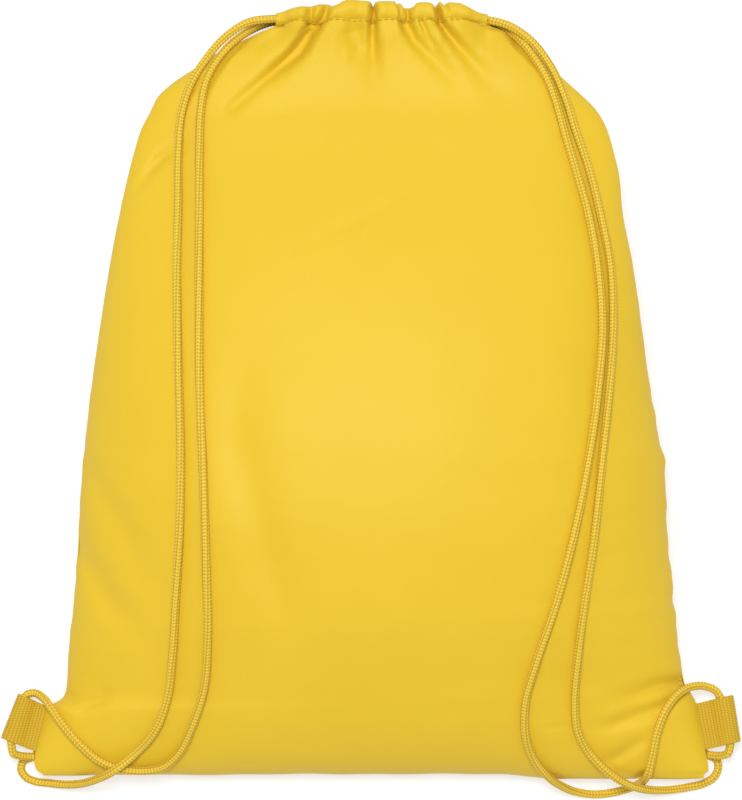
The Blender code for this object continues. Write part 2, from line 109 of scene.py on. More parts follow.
# Each cord's route, in metres: from the knot up the outer strand, through the back
# hem, round the side slit, back through the front hem, down the inner strand and
# up to the webbing loop, then from the loop's lower end to the knot
ROUTES = {
    Hand.LEFT: (
        (-0.1672, -0.1808, 0.004), (-0.1706, -0.1824, 0.003), (-0.1719, -0.1862, 0.0025),
        (-0.1696, -0.1902, 0.0023), (-0.165, -0.1924, 0.0023), (-0.1585, -0.1932, 0.0028),
        (-0.1506, -0.1938, 0.0064), (-0.1414, -0.1929, 0.014), (-0.1335, -0.1903, 0.0232),
        (-0.125, -0.1857, 0.0318), (-0.1145, -0.1772, 0.033), (-0.1052, -0.1663, 0.0399),
        (-0.0993, -0.151, 0.0465), (-0.0966, -0.131, 0.055), (-0.0948, -0.103, 0.0646),
        (-0.0926, -0.068, 0.0728), (-0.0921, -0.03, 0.0753), (-0.0934, 0.015, 0.07),
        (-0.0942, 0.06, 0.06), (-0.0938, 0.092, 0.0494), (-0.0939, 0.115, 0.0415),
        (-0.0925, 0.1335, 0.0361), (-0.0886, 0.1472, 0.032), (-0.0808, 0.1605, 0.0301),
        (-0.0712, 0.1715, 0.0294), (-0.0595, 0.1788, 0.0297), (-0.048, 0.1803, 0.0305),
        (-0.034, 0.18, 0.0324), (-0.015, 0.1811, 0.0325), (0.005, 0.1823, 0.0328),
        (0.024, 0.1838, 0.0323), (0.032, 0.1845, 0.0312), (0.0388, 0.1846, 0.0306),
        (0.0449, 0.1838, 0.0281), (0.0474, 0.1826, 0.022), (0.0449, 0.1838, 0.0159),
        (0.0388, 0.1846, 0.0134), (0.032, 0.1845, 0.0129), (0.024, 0.1839, 0.0116),
        (0.005, 0.1823, 0.0111), (-0.015, 0.181, 0.0114), (-0.034, 0.18, 0.0116),
        (-0.0466, 0.1799, 0.0136), (-0.0542, 0.1776, 0.0173), (-0.0626, 0.1729, 0.0235),
        (-0.0698, 0.1668, 0.0284), (-0.0762, 0.1587, 0.0301), (-0.0808, 0.149, 0.0332),
        (-0.083, 0.136, 0.0374), (-0.0836, 0.115, 0.044), (-0.0835, 0.085, 0.0551),
        (-0.0834, 0.048, 0.0671), (-0.083, 0.005, 0.0758), (-0.0812, -0.04, 0.0795),
        (-0.0798, -0.085, 0.0739), (-0.0793, -0.122, 0.0633), (-0.0815, -0.147, 0.0518),
        (-0.0872, -0.1642, 0.0435), (-0.0936, -0.1772, 0.0349), (-0.1016, -0.1844, 0.029),
        (-0.1115, -0.1864, 0.0252), (-0.1225, -0.1854, 0.0264), (-0.1325, -0.1814, 0.0271),
        (-0.1425, -0.173, 0.0285), (-0.151, -0.1632, 0.0273), (-0.1566, -0.1554, 0.0242),
        (-0.1604, -0.1509, 0.019), (-0.1646, -0.1487, 0.0158), (-0.1684, -0.1495, 0.015),
        (-0.16985, -0.151, 0.015),
    ),
    Hand.RIGHT: (
        (0.1664, -0.1801, 0.0038), (0.1692, -0.1818, 0.003), (0.17, -0.186, 0.0025),
        (0.1679, -0.1904, 0.0023), (0.163, -0.1934, 0.0023), (0.1555, -0.1952, 0.0028),
        (0.1463, -0.1964, 0.0066), (0.1368, -0.1962, 0.014), (0.1285, -0.1944, 0.0214),
        (0.1206, -0.1906, 0.0266), (0.1132, -0.185, 0.0306), (0.1056, -0.1768, 0.0338),
        (0.1002, -0.1665, 0.0404), (0.0986, -0.152, 0.0464), (0.0999, -0.132, 0.0535),
        (0.1029, -0.105, 0.0609), (0.1076, -0.072, 0.0655), (0.1114, -0.0346, 0.0658),
        (0.1148, -0.002, 0.061), (0.117, 0.032, 0.0542), (0.1158, 0.06, 0.0495),
        (0.111, 0.085, 0.0455), (0.1054, 0.1076, 0.0414), (0.0992, 0.126, 0.0382),
        (0.0942, 0.142, 0.0348), (0.087, 0.1576, 0.0307), (0.0774, 0.1699, 0.0303),
        (0.0672, 0.1769, 0.0299), (0.0572, 0.1796, 0.0304), (0.0459, 0.1799, 0.0305),
        (0.0249, 0.181, 0.0286), (0.0049, 0.1823, 0.0283), (-0.0141, 0.1839, 0.0288),
        (-0.022, 0.184, 0.0294), (-0.0289, 0.1836, 0.0296), (-0.035, 0.1832, 0.0277),
        (-0.0375, 0.1824, 0.022), (-0.035, 0.1832, 0.0163), (-0.0289, 0.1836, 0.0144),
        (-0.022, 0.184, 0.0145), (-0.0141, 0.1839, 0.0154), (0.0049, 0.1823, 0.0157),
        (0.0249, 0.181, 0.0154), (0.0459, 0.1799, 0.0135), (0.0566, 0.1798, 0.014),
        (0.066, 0.1752, 0.0202), (0.0736, 0.1688, 0.028), (0.0802, 0.1601, 0.031),
        (0.086, 0.1498, 0.0337), (0.09, 0.1388, 0.0364), (0.0944, 0.1229, 0.0401),
        (0.0996, 0.1054, 0.0439), (0.1052, 0.085, 0.0481), (0.1096, 0.06, 0.053),
        (0.1118, 0.032, 0.0575), (0.1094, -0.002, 0.0644), (0.1042, -0.038, 0.0698),
        (0.097, -0.074, 0.07), (0.0884, -0.1065, 0.0658), (0.0794, -0.134, 0.0583),
        (0.0746, -0.1525, 0.0508), (0.0748, -0.168, 0.043), (0.0788, -0.18, 0.0341),
        (0.0851, -0.1882, 0.0268), (0.0925, -0.1939, 0.0155), (0.1004, -0.1974, 0.0065),
        (0.1094, -0.1988, 0.0025), (0.1188, -0.1978, 0.0023), (0.1264, -0.1956, 0.0046),
        (0.131, -0.1934, 0.0096), (0.1332, -0.1912, 0.0172), (0.1352, -0.187, 0.0256),
        (0.1368, -0.1794, 0.0288), (0.139, -0.168, 0.0312), (0.1432, -0.1566, 0.0317),
        (0.1494, -0.1489, 0.0269), (0.1564, -0.1455, 0.02), (0.1634, -0.1454, 0.016),
        (0.1686, -0.1478, 0.015), (0.1704, -0.1506, 0.015),
    ),
}
TAILS = {
    Hand.LEFT: ((-0.1759, -0.1752, 0.015), (-0.1753, -0.1781, 0.014),
                (-0.172, -0.1795, 0.0114), (-0.1668, -0.18, 0.0089)),
    Hand.RIGHT: ((0.1752, -0.1752, 0.015), (0.1744, -0.178, 0.014),
                (0.171, -0.1794, 0.0114), (0.1658, -0.1792, 0.0089)),
}
# Where each cord's two ends go into its knot, and the knot's middle, in millimetres
KNOT_ENDS = {
    Hand.LEFT: ((-165.4, -180.4, 4.1), (-165.2, -180.1, 8.7)),
    Hand.RIGHT: ((164.6, -179.6, 3.9), (164.2, -179.1, 8.7)),
}
KNOTS = {Hand.LEFT: (-161.0, -180.2, 5.9), Hand.RIGHT: (160.0, -179.4, 5.9)}

# ---------------------------------------------------------------- mesh and node helpers


def smoothstep(t: np.ndarray) -> np.ndarray:
    """Cubic ease from 0 to 1, flat at both ends and outside them."""
    t = np.clip(t, 0.0, 1.0)
    return t * t * (3 - 2 * t)


def ripple(turns: np.ndarray) -> np.ndarray:
    """Cosine wave from 0 to 1, with a crest at each whole number."""
    return 0.5 + 0.5 * np.cos(2 * math.pi * turns)


def ring_angles(count: int) -> np.ndarray:
    """Even angles once round a ring, from 0."""
    return np.linspace(0, 2 * math.pi, count + 1)[:-1]


def through(points: Points, x: np.ndarray) -> np.ndarray:
    """Piecewise cubic through the points that never overshoots them.

    Each inner slope is the weighted harmonic mean of its two chords, or zero at a turn.

    Args:
        points: (x, value) pairs with rising x.
        x: where the curve is read.

    Returns:
        The curve's values, of x's shape.
    """
    xs, values = np.array(points, dtype=float).T
    steps = np.diff(xs)
    chords = np.diff(values) / steps
    slopes = np.concatenate((chords[:1], np.zeros(len(xs) - 2), chords[-1:]))
    same = chords[:-1] * chords[1:] > 0
    w1 = 2 * steps[1:] + steps[:-1]
    w2 = steps[1:] + 2 * steps[:-1]
    before = np.where(same, chords[:-1], 1.0)
    after = np.where(same, chords[1:], 1.0)
    slopes[1:-1] = np.where(same, (w1 + w2) / (w1 / before + w2 / after), 0.0)
    i = np.clip(np.searchsorted(xs, x) - 1, 0, len(steps) - 1)
    t = np.clip((x - xs[i]) / steps[i], 0.0, 1.0)
    return ((2 * t**3 - 3 * t**2 + 1) * values[i]
            + (t**3 - 2 * t**2 + t) * steps[i] * slopes[i]
            + (3 * t**2 - 2 * t**3) * values[i + 1]
            + (t**3 - t**2) * steps[i] * slopes[i + 1])


def run_along(path: np.ndarray) -> np.ndarray:
    """Length from a path's first place to each of its places."""
    steps = np.linalg.norm(np.diff(path, axis=0), axis=1)
    return np.concatenate(((0.0,), np.cumsum(steps)))


def path_length(path: np.ndarray) -> float:
    """Length of a whole path."""
    return float(run_along(path)[-1])


def smooth_path(points: np.ndarray, step: float) -> np.ndarray:
    """Curve through points, then cut at even lengths.

    Cubic spans by chord length, whose inner tangents weigh the two chords they join.

    Args:
        points: (N, 3) places.
        step: about how far apart the result's places are.

    Returns:
        (M, 3) places, evenly spaced along the curve.
    """
    spans = np.linalg.norm(np.diff(points, axis=0), axis=1)
    chords = np.diff(points, axis=0) / spans[:, None]
    weight = (spans[1:] / (spans[:-1] + spans[1:]))[:, None]
    tangents = np.vstack((chords[:1], chords[:-1] * weight + chords[1:] * (1 - weight),
                          chords[-1:]))
    t = np.linspace(0, 1, 25)[None, :-1, None]
    start, end = points[:-1, None], points[1:, None]
    length = spans[:, None, None]
    dense = (start * (2 * t**3 - 3 * t**2 + 1)
             + tangents[:-1, None] * length * (t**3 - 2 * t**2 + t)
             + end * (3 * t**2 - 2 * t**3)
             + tangents[1:, None] * length * (t**3 - t**2)).reshape(-1, 3)
    dense = np.vstack((dense, points[-1:]))
    run = run_along(dense)
    count = max(2, int(round(run[-1] / step)) + 1)
    places = np.linspace(0, run[-1], count)
    return np.stack([np.interp(places, run, dense[:, k]) for k in range(3)], axis=1)


def carried_frames(path: np.ndarray) -> tuple[np.ndarray, np.ndarray, np.ndarray]:
    """Tangents and two normals that don't twist about the path.

    A normal square to a fixed direction is taken at each place. The angle by which it
    departs from the normal before it, carried over by the smallest turn, is summed
    along the path and taken back out.

    Args:
        path: (N, 3) places.

    Returns:
        Unit tangents, first normals and second normals, each (N, 3).
    """
    tangent = np.gradient(path, axis=0)
    tangent /= np.linalg.norm(tangent, axis=1, keepdims=True)
    first = np.cross(tangent, np.array((0.131, 0.217, 0.967)))
    first /= np.linalg.norm(first, axis=1, keepdims=True)
    second = np.cross(tangent, first)
    t0, t1, a0 = tangent[:-1], tangent[1:], first[:-1]
    axis = np.cross(t0, t1)
    cosine = (t0 * t1).sum(1, keepdims=True)
    carried = (a0 * cosine + np.cross(axis, a0)
               + axis * (axis * a0).sum(1, keepdims=True) / (1 + cosine))
    departs = np.arctan2((np.cross(carried, first[1:]) * t1).sum(1),
                         (carried * first[1:]).sum(1))
    angle = -np.concatenate(((0.0,), np.cumsum(departs)))[:, None]
    return (tangent, np.cos(angle) * first + np.sin(angle) * second,
            np.cos(angle) * second - np.sin(angle) * first)


def random_waves(x: np.ndarray, y: np.ndarray, pattern: Draw, wavelength: float,
                 count: int = 7) -> np.ndarray:
    """Sum of sine waves of random direction, phase and length, about -1 to 1.

    Args:
        x: first coordinate.
        y: second coordinate.
        pattern: which random draw.
        wavelength: middle wavelength, in the coordinates' unit.
        count: number of waves.

    Returns:
        The sum, of x's shape.
    """
    draw = np.random.default_rng(pattern.value)
    heading = draw.uniform(0, math.pi, count)
    phase = draw.uniform(0, 2 * math.pi, count)
    length = wavelength * draw.uniform(0.6, 1.7, count)
    total = np.zeros(np.broadcast(x, y).shape)
    for k in range(count):
        along = x * math.cos(heading[k]) + y * math.sin(heading[k])
        total += np.sin(2 * math.pi * along / length[k] + phase[k])
    return total / math.sqrt(count)


def new_object(name: str, data: bpy.types.ID) -> bpy.types.Object:
    """Object at the origin, linked to the scene."""
    made = bpy.data.objects.new(name, data)
    bpy.context.scene.collection.objects.link(made)
    return made


def surface_object(name: str, grid: np.ndarray, *, ring: bool = False, caps: bool = False,
                   flip: bool = False, uv: np.ndarray | None = None,
                   relief: np.ndarray | None = None) -> bpy.types.Object:
    """Mesh object from a grid of places.

    Args:
        name: the object's name.
        grid: (rows, columns, 3) places in millimetres.
        ring: whether the last column joins the first.
        caps: whether the first and last rows of a ring are closed.
        flip: turn the faces the other way round.
        uv: (rows, columns, 2) flat coordinates in metres.
        relief: (rows, columns) share from groove, 0, to ridge, 1; painted shade to highlight.

    Returns:
        The new object, linked to the scene.
    """
    rows, columns = grid.shape[:2]
    index = np.arange(rows * columns).reshape(rows, columns)
    if ring:
        index = np.hstack((index, index[:, :1]))
    quads = np.stack((index[:-1, :-1], index[:-1, 1:], index[1:, 1:], index[1:, :-1]),
                     axis=-1).reshape(-1, 4)
    if flip:
        quads = quads[:, ::-1]
    faces = quads.tolist()
    if caps:
        first, last = index[0, :columns].tolist(), index[-1, :columns].tolist()
        faces += [first if flip else first[::-1], last[::-1] if flip else last]
    mesh = bpy.data.meshes.new(name)
    mesh.from_pydata(grid.reshape(-1, 3) * MM, [], faces)
    mesh.polygons.foreach_set("use_smooth", np.ones(len(faces), dtype=bool))
    if uv is not None:
        corners = np.empty(len(mesh.loops), dtype=np.int32)
        mesh.loops.foreach_get("vertex_index", corners)
        layer = mesh.uv_layers.new(name="flat_cloth")
        layer.data.foreach_set("uv", uv.reshape(-1, 2)[corners].astype(np.float32).ravel())
    if relief is not None:
        store = mesh.attributes.new("relief", "FLOAT", "POINT")
        store.data.foreach_set("value", relief.astype(np.float32).ravel())
    mesh.update()
    return new_object(name, mesh)


def joined(name: str, pieces: Sequence[bpy.types.Object]) -> bpy.types.Object:
    """One object from several.

    Args:
        name: the name it gets.
        pieces: the objects, of which the first stays.

    Returns:
        The joined object.
    """
    with bpy.context.temp_override(active_object=pieces[0], selected_editable_objects=pieces):
        bpy.ops.object.join()
    pieces[0].name = name
    pieces[0].data.name = name
    return pieces[0]


def dress(piece: bpy.types.Object, finish: bpy.types.Material, slot: str,
          *nodes: str) -> None:
    """Give a piece its finish and let it stand for its CAD nodes.

    Args:
        piece: the shaped piece.
        finish: its material.
        slot: not used.
        nodes: the CAD nodes it stands for.
    """
    piece.data.materials.clear()
    piece.data.materials.append(finish)
    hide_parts(*nodes)


def linear(code: str) -> tuple[float, float, float, float]:
    """Linear colour from an sRGB hex code such as "F5CC3E".

    Args:
        code: red, green and blue, two hex digits each.

    Returns:
        Red, green, blue and an opacity of 1.
    """
    shares = [int(code[k:k + 2], 16) / 255 for k in (0, 2, 4)]
    return (*[s / 12.92 if s <= 0.04045 else ((s + 0.055) / 1.055) ** 2.4 for s in shares],
            1.0)


def add_node(tree: bpy.types.NodeTree, kind: str, settings: dict[str, Any] | None = None,
             links: dict[Any, Any] | None = None) -> bpy.types.Node:
    """Add a node with its settings and what feeds it.

    Args:
        tree: the material's node tree.
        kind: the node's type name without its ShaderNode prefix.
        settings: properties by name, and socket values by socket name or number.
        links: output sockets by input name or number.

    Returns:
        The new node.
    """
    node = tree.nodes.new(f"ShaderNode{kind}")
    for key, value in (settings or {}).items():
        if isinstance(key, int):
            node.inputs[key].default_value = value
        elif hasattr(node, key):
            setattr(node, key, value)
        else:
            node.inputs[key].default_value = value
    for key, source in (links or {}).items():
        tree.links.new(source, node.inputs[key])
    return node


# ---------------------------------------------------------------- finishes


@dataclass(frozen=True)
class Finish:
    """A dyed polyester textile: two near tones, a soft sheen and a fine relief."""

    name: str
    light: str
    dark: str
    roughness: float
    sheen: float
    specular: float

    def build(self) -> bpy.types.Material:
        """Make the material.

        Returns:
            The finished material.
        """
        material = bpy.data.materials.new(self.name)
        material.use_nodes = True
        tree = material.node_tree
        tree.nodes.clear()
        shader = add_node(tree, "BsdfPrincipled", {
            "Roughness": self.roughness, "Sheen Weight": self.sheen, "Sheen Roughness": 0.35,
            "Specular IOR Level": self.specular, "IOR": 1.54})
        add_node(tree, "OutputMaterial", links={"Surface": shader.outputs[0]})
        tree.links.new(self.colour(tree), shader.inputs["Base Color"])
        tree.links.new(self.relief(tree), shader.inputs["Normal"])
        return material

    def colour(self, tree: bpy.types.NodeTree) -> bpy.types.NodeSocket:
        """Colour of the textile, a blend of its two tones."""
        raise NotImplementedError

    def relief(self, tree: bpy.types.NodeTree) -> bpy.types.NodeSocket:
        """Bumped normal of the textile."""
        raise NotImplementedError

    def tones(self, tree: bpy.types.NodeTree,
              share: bpy.types.NodeSocket) -> bpy.types.NodeSocket:
        """Mix of dark and light by a share.

        Args:
            tree: the material's node tree.
            share: 0 for dark, 1 for light.

        Returns:
            The colour output.
        """
        mix = add_node(tree, "Mix", {"data_type": "RGBA", 6: linear(self.dark),
                                     7: linear(self.light)}, {0: share})
        return mix.outputs[2]


@dataclass(frozen=True)
class WovenPolyester(Finish):
    """210 denier plain weave with a coating inside: matt with a slight silky glow.

    Its threads lie 0.3 mm apart, too fine to show, so the weave is drawn at thread_mm.
    A slub is a thicker stretch of thread, slub_mm wide and long. The tone drifts over
    about 70 mm, and the cloth crumples over about 17 mm.
    """

    thread_mm: float = 0.85
    slub_mm: tuple[float, float] = (0.625, 25.0)
    drifts_per_metre: float = 14.0
    crumples_per_metre: float = 60.0

    def colour(self, tree: bpy.types.NodeTree) -> bpy.types.NodeSocket:
        """Tone that drifts slowly over the cloth, with faint thicker threads.

        Args:
            tree: the material's node tree.

        Returns:
            The colour output.
        """
        flat = add_node(tree, "UVMap", {"uv_map": "flat_cloth"}).outputs[0]
        drift = add_node(tree, "TexNoise", {"Scale": self.drifts_per_metre, "Detail": 3.0},
                         {"Vector": flat})
        wide, long = (1 / (size * MM) for size in self.slub_mm)
        slub_place = add_node(tree, "Mapping", {"Scale": (wide, long, 1.0)},
                              {"Vector": flat})
        slub = add_node(tree, "TexNoise", {"Scale": 1.0, "Detail": 1.0},
                        {"Vector": slub_place.outputs[0]})
        share = add_node(tree, "Mix", {"data_type": "FLOAT", 0: 0.3},
                         {2: drift.outputs[0], 3: slub.outputs[0]})
        return self.tones(tree, share.outputs[0])

    def relief(self, tree: bpy.types.NodeTree) -> bpy.types.NodeSocket:
        """Warp and weft as two crossing sets of soft ridges, over faint crumples.

        Args:
            tree: the material's node tree.

        Returns:
            The bumped normal.
        """
        flat = add_node(tree, "UVMap", {"uv_map": "flat_cloth"}).outputs[0]
        scale = 2 * math.pi / (20 * self.thread_mm * MM)
        warp = add_node(tree, "TexWave", {"bands_direction": "X", "Scale": scale},
                        {"Vector": flat})
        weft = add_node(tree, "TexWave", {"bands_direction": "Y", "Scale": scale},
                        {"Vector": flat})
        weave = add_node(tree, "Math", {"operation": "MAXIMUM"},
                         {0: warp.outputs[1], 1: weft.outputs[1]})
        crumple = add_node(tree, "TexNoise", {"Scale": self.crumples_per_metre,
                                              "Detail": 4.0}, {"Vector": flat})
        soft = add_node(tree, "Bump", {"Strength": 0.35, "Distance": 0.0008},
                        {"Height": crumple.outputs[0]})
        bump = add_node(tree, "Bump", {"Strength": 0.3, "Distance": 0.00008},
                        {"Height": weave.outputs[0], "Normal": soft.outputs[0]})
        return bump.outputs[0]


@dataclass(frozen=True)
class CordKnit(Finish):
    """Knitted cord, webbing or thread: painted shade in grooves, painted highlight on ridges."""

    fibre_mm: float = 0.25
    # relief at or below groove gets the full painted shade
    groove: float = 0.15

    def colour(self, tree: bpy.types.NodeTree) -> bpy.types.NodeSocket:
        """Painted shade in the grooves between yarns and painted highlight on their backs.

        Args:
            tree: the material's node tree.

        Returns:
            The colour output.
        """
        height = add_node(tree, "Attribute", {"attribute_name": "relief"})
        # relief from groove to 0.85 runs from painted shade to painted highlight
        lift = add_node(tree, "MapRange", {1: self.groove, 2: 0.85},
                        {0: height.outputs["Fac"]})
        return self.tones(tree, lift.outputs[0])

    def relief(self, tree: bpy.types.NodeTree) -> bpy.types.NodeSocket:
        """Fine fibres as small noise.

        Args:
            tree: the material's node tree.

        Returns:
            The bumped normal.
        """
        place = add_node(tree, "TexCoord").outputs["Object"]
        fibre = add_node(tree, "TexNoise", {"Scale": 1 / (self.fibre_mm * MM), "Detail": 2.0},
                         {"Vector": place})
        bump = add_node(tree, "Bump", {"Strength": 0.5, "Distance": 0.00012},
                        {"Height": fibre.outputs[0]})
        return bump.outputs[0]


@dataclass(frozen=True)
class PaperSweep:
    """White paper that glows a little, so that it holds almost no shadow."""

    name: str = "white paper sweep"
    glow: float = 0.62
    albedo: str = "A4A4A4"

    def build(self) -> bpy.types.Material:
        """Make the material."""
        material = bpy.data.materials.new(self.name)
        material.use_nodes = True
        shader = material.node_tree.nodes["Principled BSDF"]
        for socket, value in (("Base Color", linear(self.albedo)), ("Roughness", 0.9),
                              ("Specular IOR Level", 0.1), ("Emission Color", linear(WHITE)),
                              ("Emission Strength", self.glow)):
            shader.inputs[socket].default_value = value
        return material


class Finishes:
    """The bag's four textiles, all in one dye lot."""

    def __init__(self) -> None:
        """Build each material once."""
        self.cloth = WovenPolyester("yellow 210D polyester", "DDBA2C", "D7B324",
                                    roughness=0.55, sheen=0.03, specular=0.22).build()
        # For cord, webbing and thread the dark tone is painted shade and the light tone a
        # painted highlight about the yarn's colour
        self.cord = CordKnit("yellow knitted polyester cord", "ECCB4C", "BE981A",
                             roughness=0.6, sheen=0.06, specular=0.2).build()
        self.webbing = CordKnit("yellow ribbed polyester webbing", "D2AD2A", "B38E16",
                                roughness=0.6, sheen=0.05, specular=0.2,
                                fibre_mm=0.2).build()
        self.thread = CordKnit("yellow sewing thread", "D0AB2A", "B08C18", roughness=0.5,
                               sheen=0.05, specular=0.25, fibre_mm=0.1).build()


# ---------------------------------------------------------------- the filled bag


@dataclass(frozen=True)
class Crease:
    """A soft fold in the cloth: a line of (x, y, depth, width) places, in millimetres.

    Depth is positive for a valley and negative for a ridge.
    """

    line: tuple[tuple[float, float, float, float], ...]

    def depth(self, x: np.ndarray, y: np.ndarray) -> np.ndarray:
        """Depth below the cloth's even surface.

        At each place, the nearest point of the line gives a depth and a width, and the
        depth falls off as a bell curve of the distance over the width.

        Args:
            x: X of the places.
            y: Y of the places.

        Returns:
            Depth in millimetres, of x's shape.
        """
        nearest = np.full(x.shape, 1e9)
        result = np.zeros(x.shape)
        for (x0, y0, d0, w0), (x1, y1, d1, w1) in zip(self.line, self.line[1:]):
            dx, dy = x1 - x0, y1 - y0
            t = np.clip(((x - x0) * dx + (y - y0) * dy) / (dx * dx + dy * dy), 0, 1)
            distance = np.hypot(x - x0 - t * dx, y - y0 - t * dy)
            local = (d0 + t * (d1 - d0)) * np.exp(-(distance / (w0 + t * (w1 - w0))) ** 2)
            result = np.where(distance < nearest, local, result)
            nearest = np.minimum(distance, nearest)
        return result


def crease(*line: tuple[float, float, float, float]) -> Crease:
    """Crease through the places given."""
    return Crease(line)


# Valleys between the ruffles, from the top of the hem down into the panel
GATHERS = (
    crease((-45.0, 190.0, 3.0, 3.0), (-47.0, 176.0, 3.5, 4.0), (-60.0, 164.0, 1.0, 7.0)),
    crease((-29.0, 190.0, 2.6, 2.2), (-30.2, 175.2, 3.2, 2.2), (-36.3, 164.5, 3.0, 2.6),
           (-67.7, 137.1, 1.2, 3.0)),
    crease((-19.0, 190.0, 3.6, 2.2), (-24.3, 179.7, 3.8, 2.6), (-33.6, 166.4, 4.2, 3.6),
           (-47.6, 152.4, 1.2, 5.0)),
    crease((-10.0, 181.0, 1.0, 3.5), (-8.0, 174.0, 3.2, 5.5), (-5.5, 166.0, 2.8, 5.5),
           (-3.0, 156.0, 0.4, 7.0)),
    crease((1.0, 190.0, 4.2, 1.6), (0.6, 172.0, 4.2, 2.4), (1.4, 158.0, 1.6, 3.6),
           (1.4, 144.6, 0.3, 5.0)),
    crease((12.6, 190.0, 1.6, 0.9), (14.6, 178.0, 1.8, 1.2), (17.0, 172.0, 0.5, 1.5)),
    crease((16.6, 190.0, 3.2, 2.0), (17.5, 177.0, 3.8, 2.4), (20.5, 170.0, 3.0, 3.0),
           (39.5, 150.9, 0.6, 4.0)),
    crease((31.3, 190.0, 4.0, 1.3), (33.5, 178.0, 4.0, 1.8), (38.0, 171.9, 3.4, 2.6),
           (49.6, 158.6, 1.8, 4.0), (61.0, 146.0, 0.4, 6.0)),
    crease((35.6, 190.0, 1.6, 1.0), (37.6, 183.0, 0.8, 1.0)),
    crease((24.0, 179.0, 1.5, 1.2), (28.0, 170.0, 1.4, 1.6), (35.0, 160.0, 0.3, 2.5)),
    crease((56.5, 190.0, 0.8, 3.0), (58.0, 175.0, 1.0, 4.0), (68.0, 164.0, 0.4, 6.0)),
)
# Softer folds over the body of the bag
FOLDS = (
    crease((-115.0, 97.0, 0.3, 3.0), (-103.0, 111.7, 1.5, 3.0), (-91.0, 120.5, 0.3, 4.0)),
    crease((-62.0, 22.0, 0.0, 10.0), (-64.0, -25.0, 1.3, 11.0), (-49.5, -85.0, 1.5, 9.0),
           (-38.0, -124.0, 0.2, 9.0)),
    crease((-35.0, 68.0, 0.05, 3.0), (-6.0, 82.0, 0.35, 3.0), (23.7, 97.0, 0.05, 3.0)),
    crease((-146.0, -72.0, 1.4, 5.0), (-127.6, -103.0, 1.5, 7.0), (-108.0, -124.0, 0.2, 9.0)),
    crease((-139.0, -38.0, 1.0, 5.0), (-122.7, -64.0, 1.1, 7.0), (-103.0, -104.0, 0.2, 8.0)),
    crease((-149.5, -150.5, 1.0, 2.5), (-141.0, -155.0, 1.3, 2.8), (-132.0, -152.5, 0.9, 3.0),
           (-128.0, -145.0, 0.1, 4.0)),
    crease((153.0, -143.0, 2.6, 3.2), (139.8, -144.9, 1.8, 3.6), (128.8, -149.0, 1.3, 4.0),
           (110.0, -152.0, 0.1, 5.0)),
    crease((153.0, -146.5, 1.2, 3.0), (143.2, -154.2, 1.6, 3.4), (128.8, -159.0, 1.4, 3.6),
           (118.0, -163.0, 1.0, 3.2), (106.0, -164.5, 0.1, 4.0)),
    crease((131.0, -171.5, 0.6, 3.0), (120.8, -178.0, 1.0, 3.0), (110.8, -182.0, 0.2, 3.0)),
    crease((80.0, -165.5, 0.0, 1.2), (89.0, -164.0, 0.35, 1.2), (99.0, -163.4, 0.0, 1.2)),
)


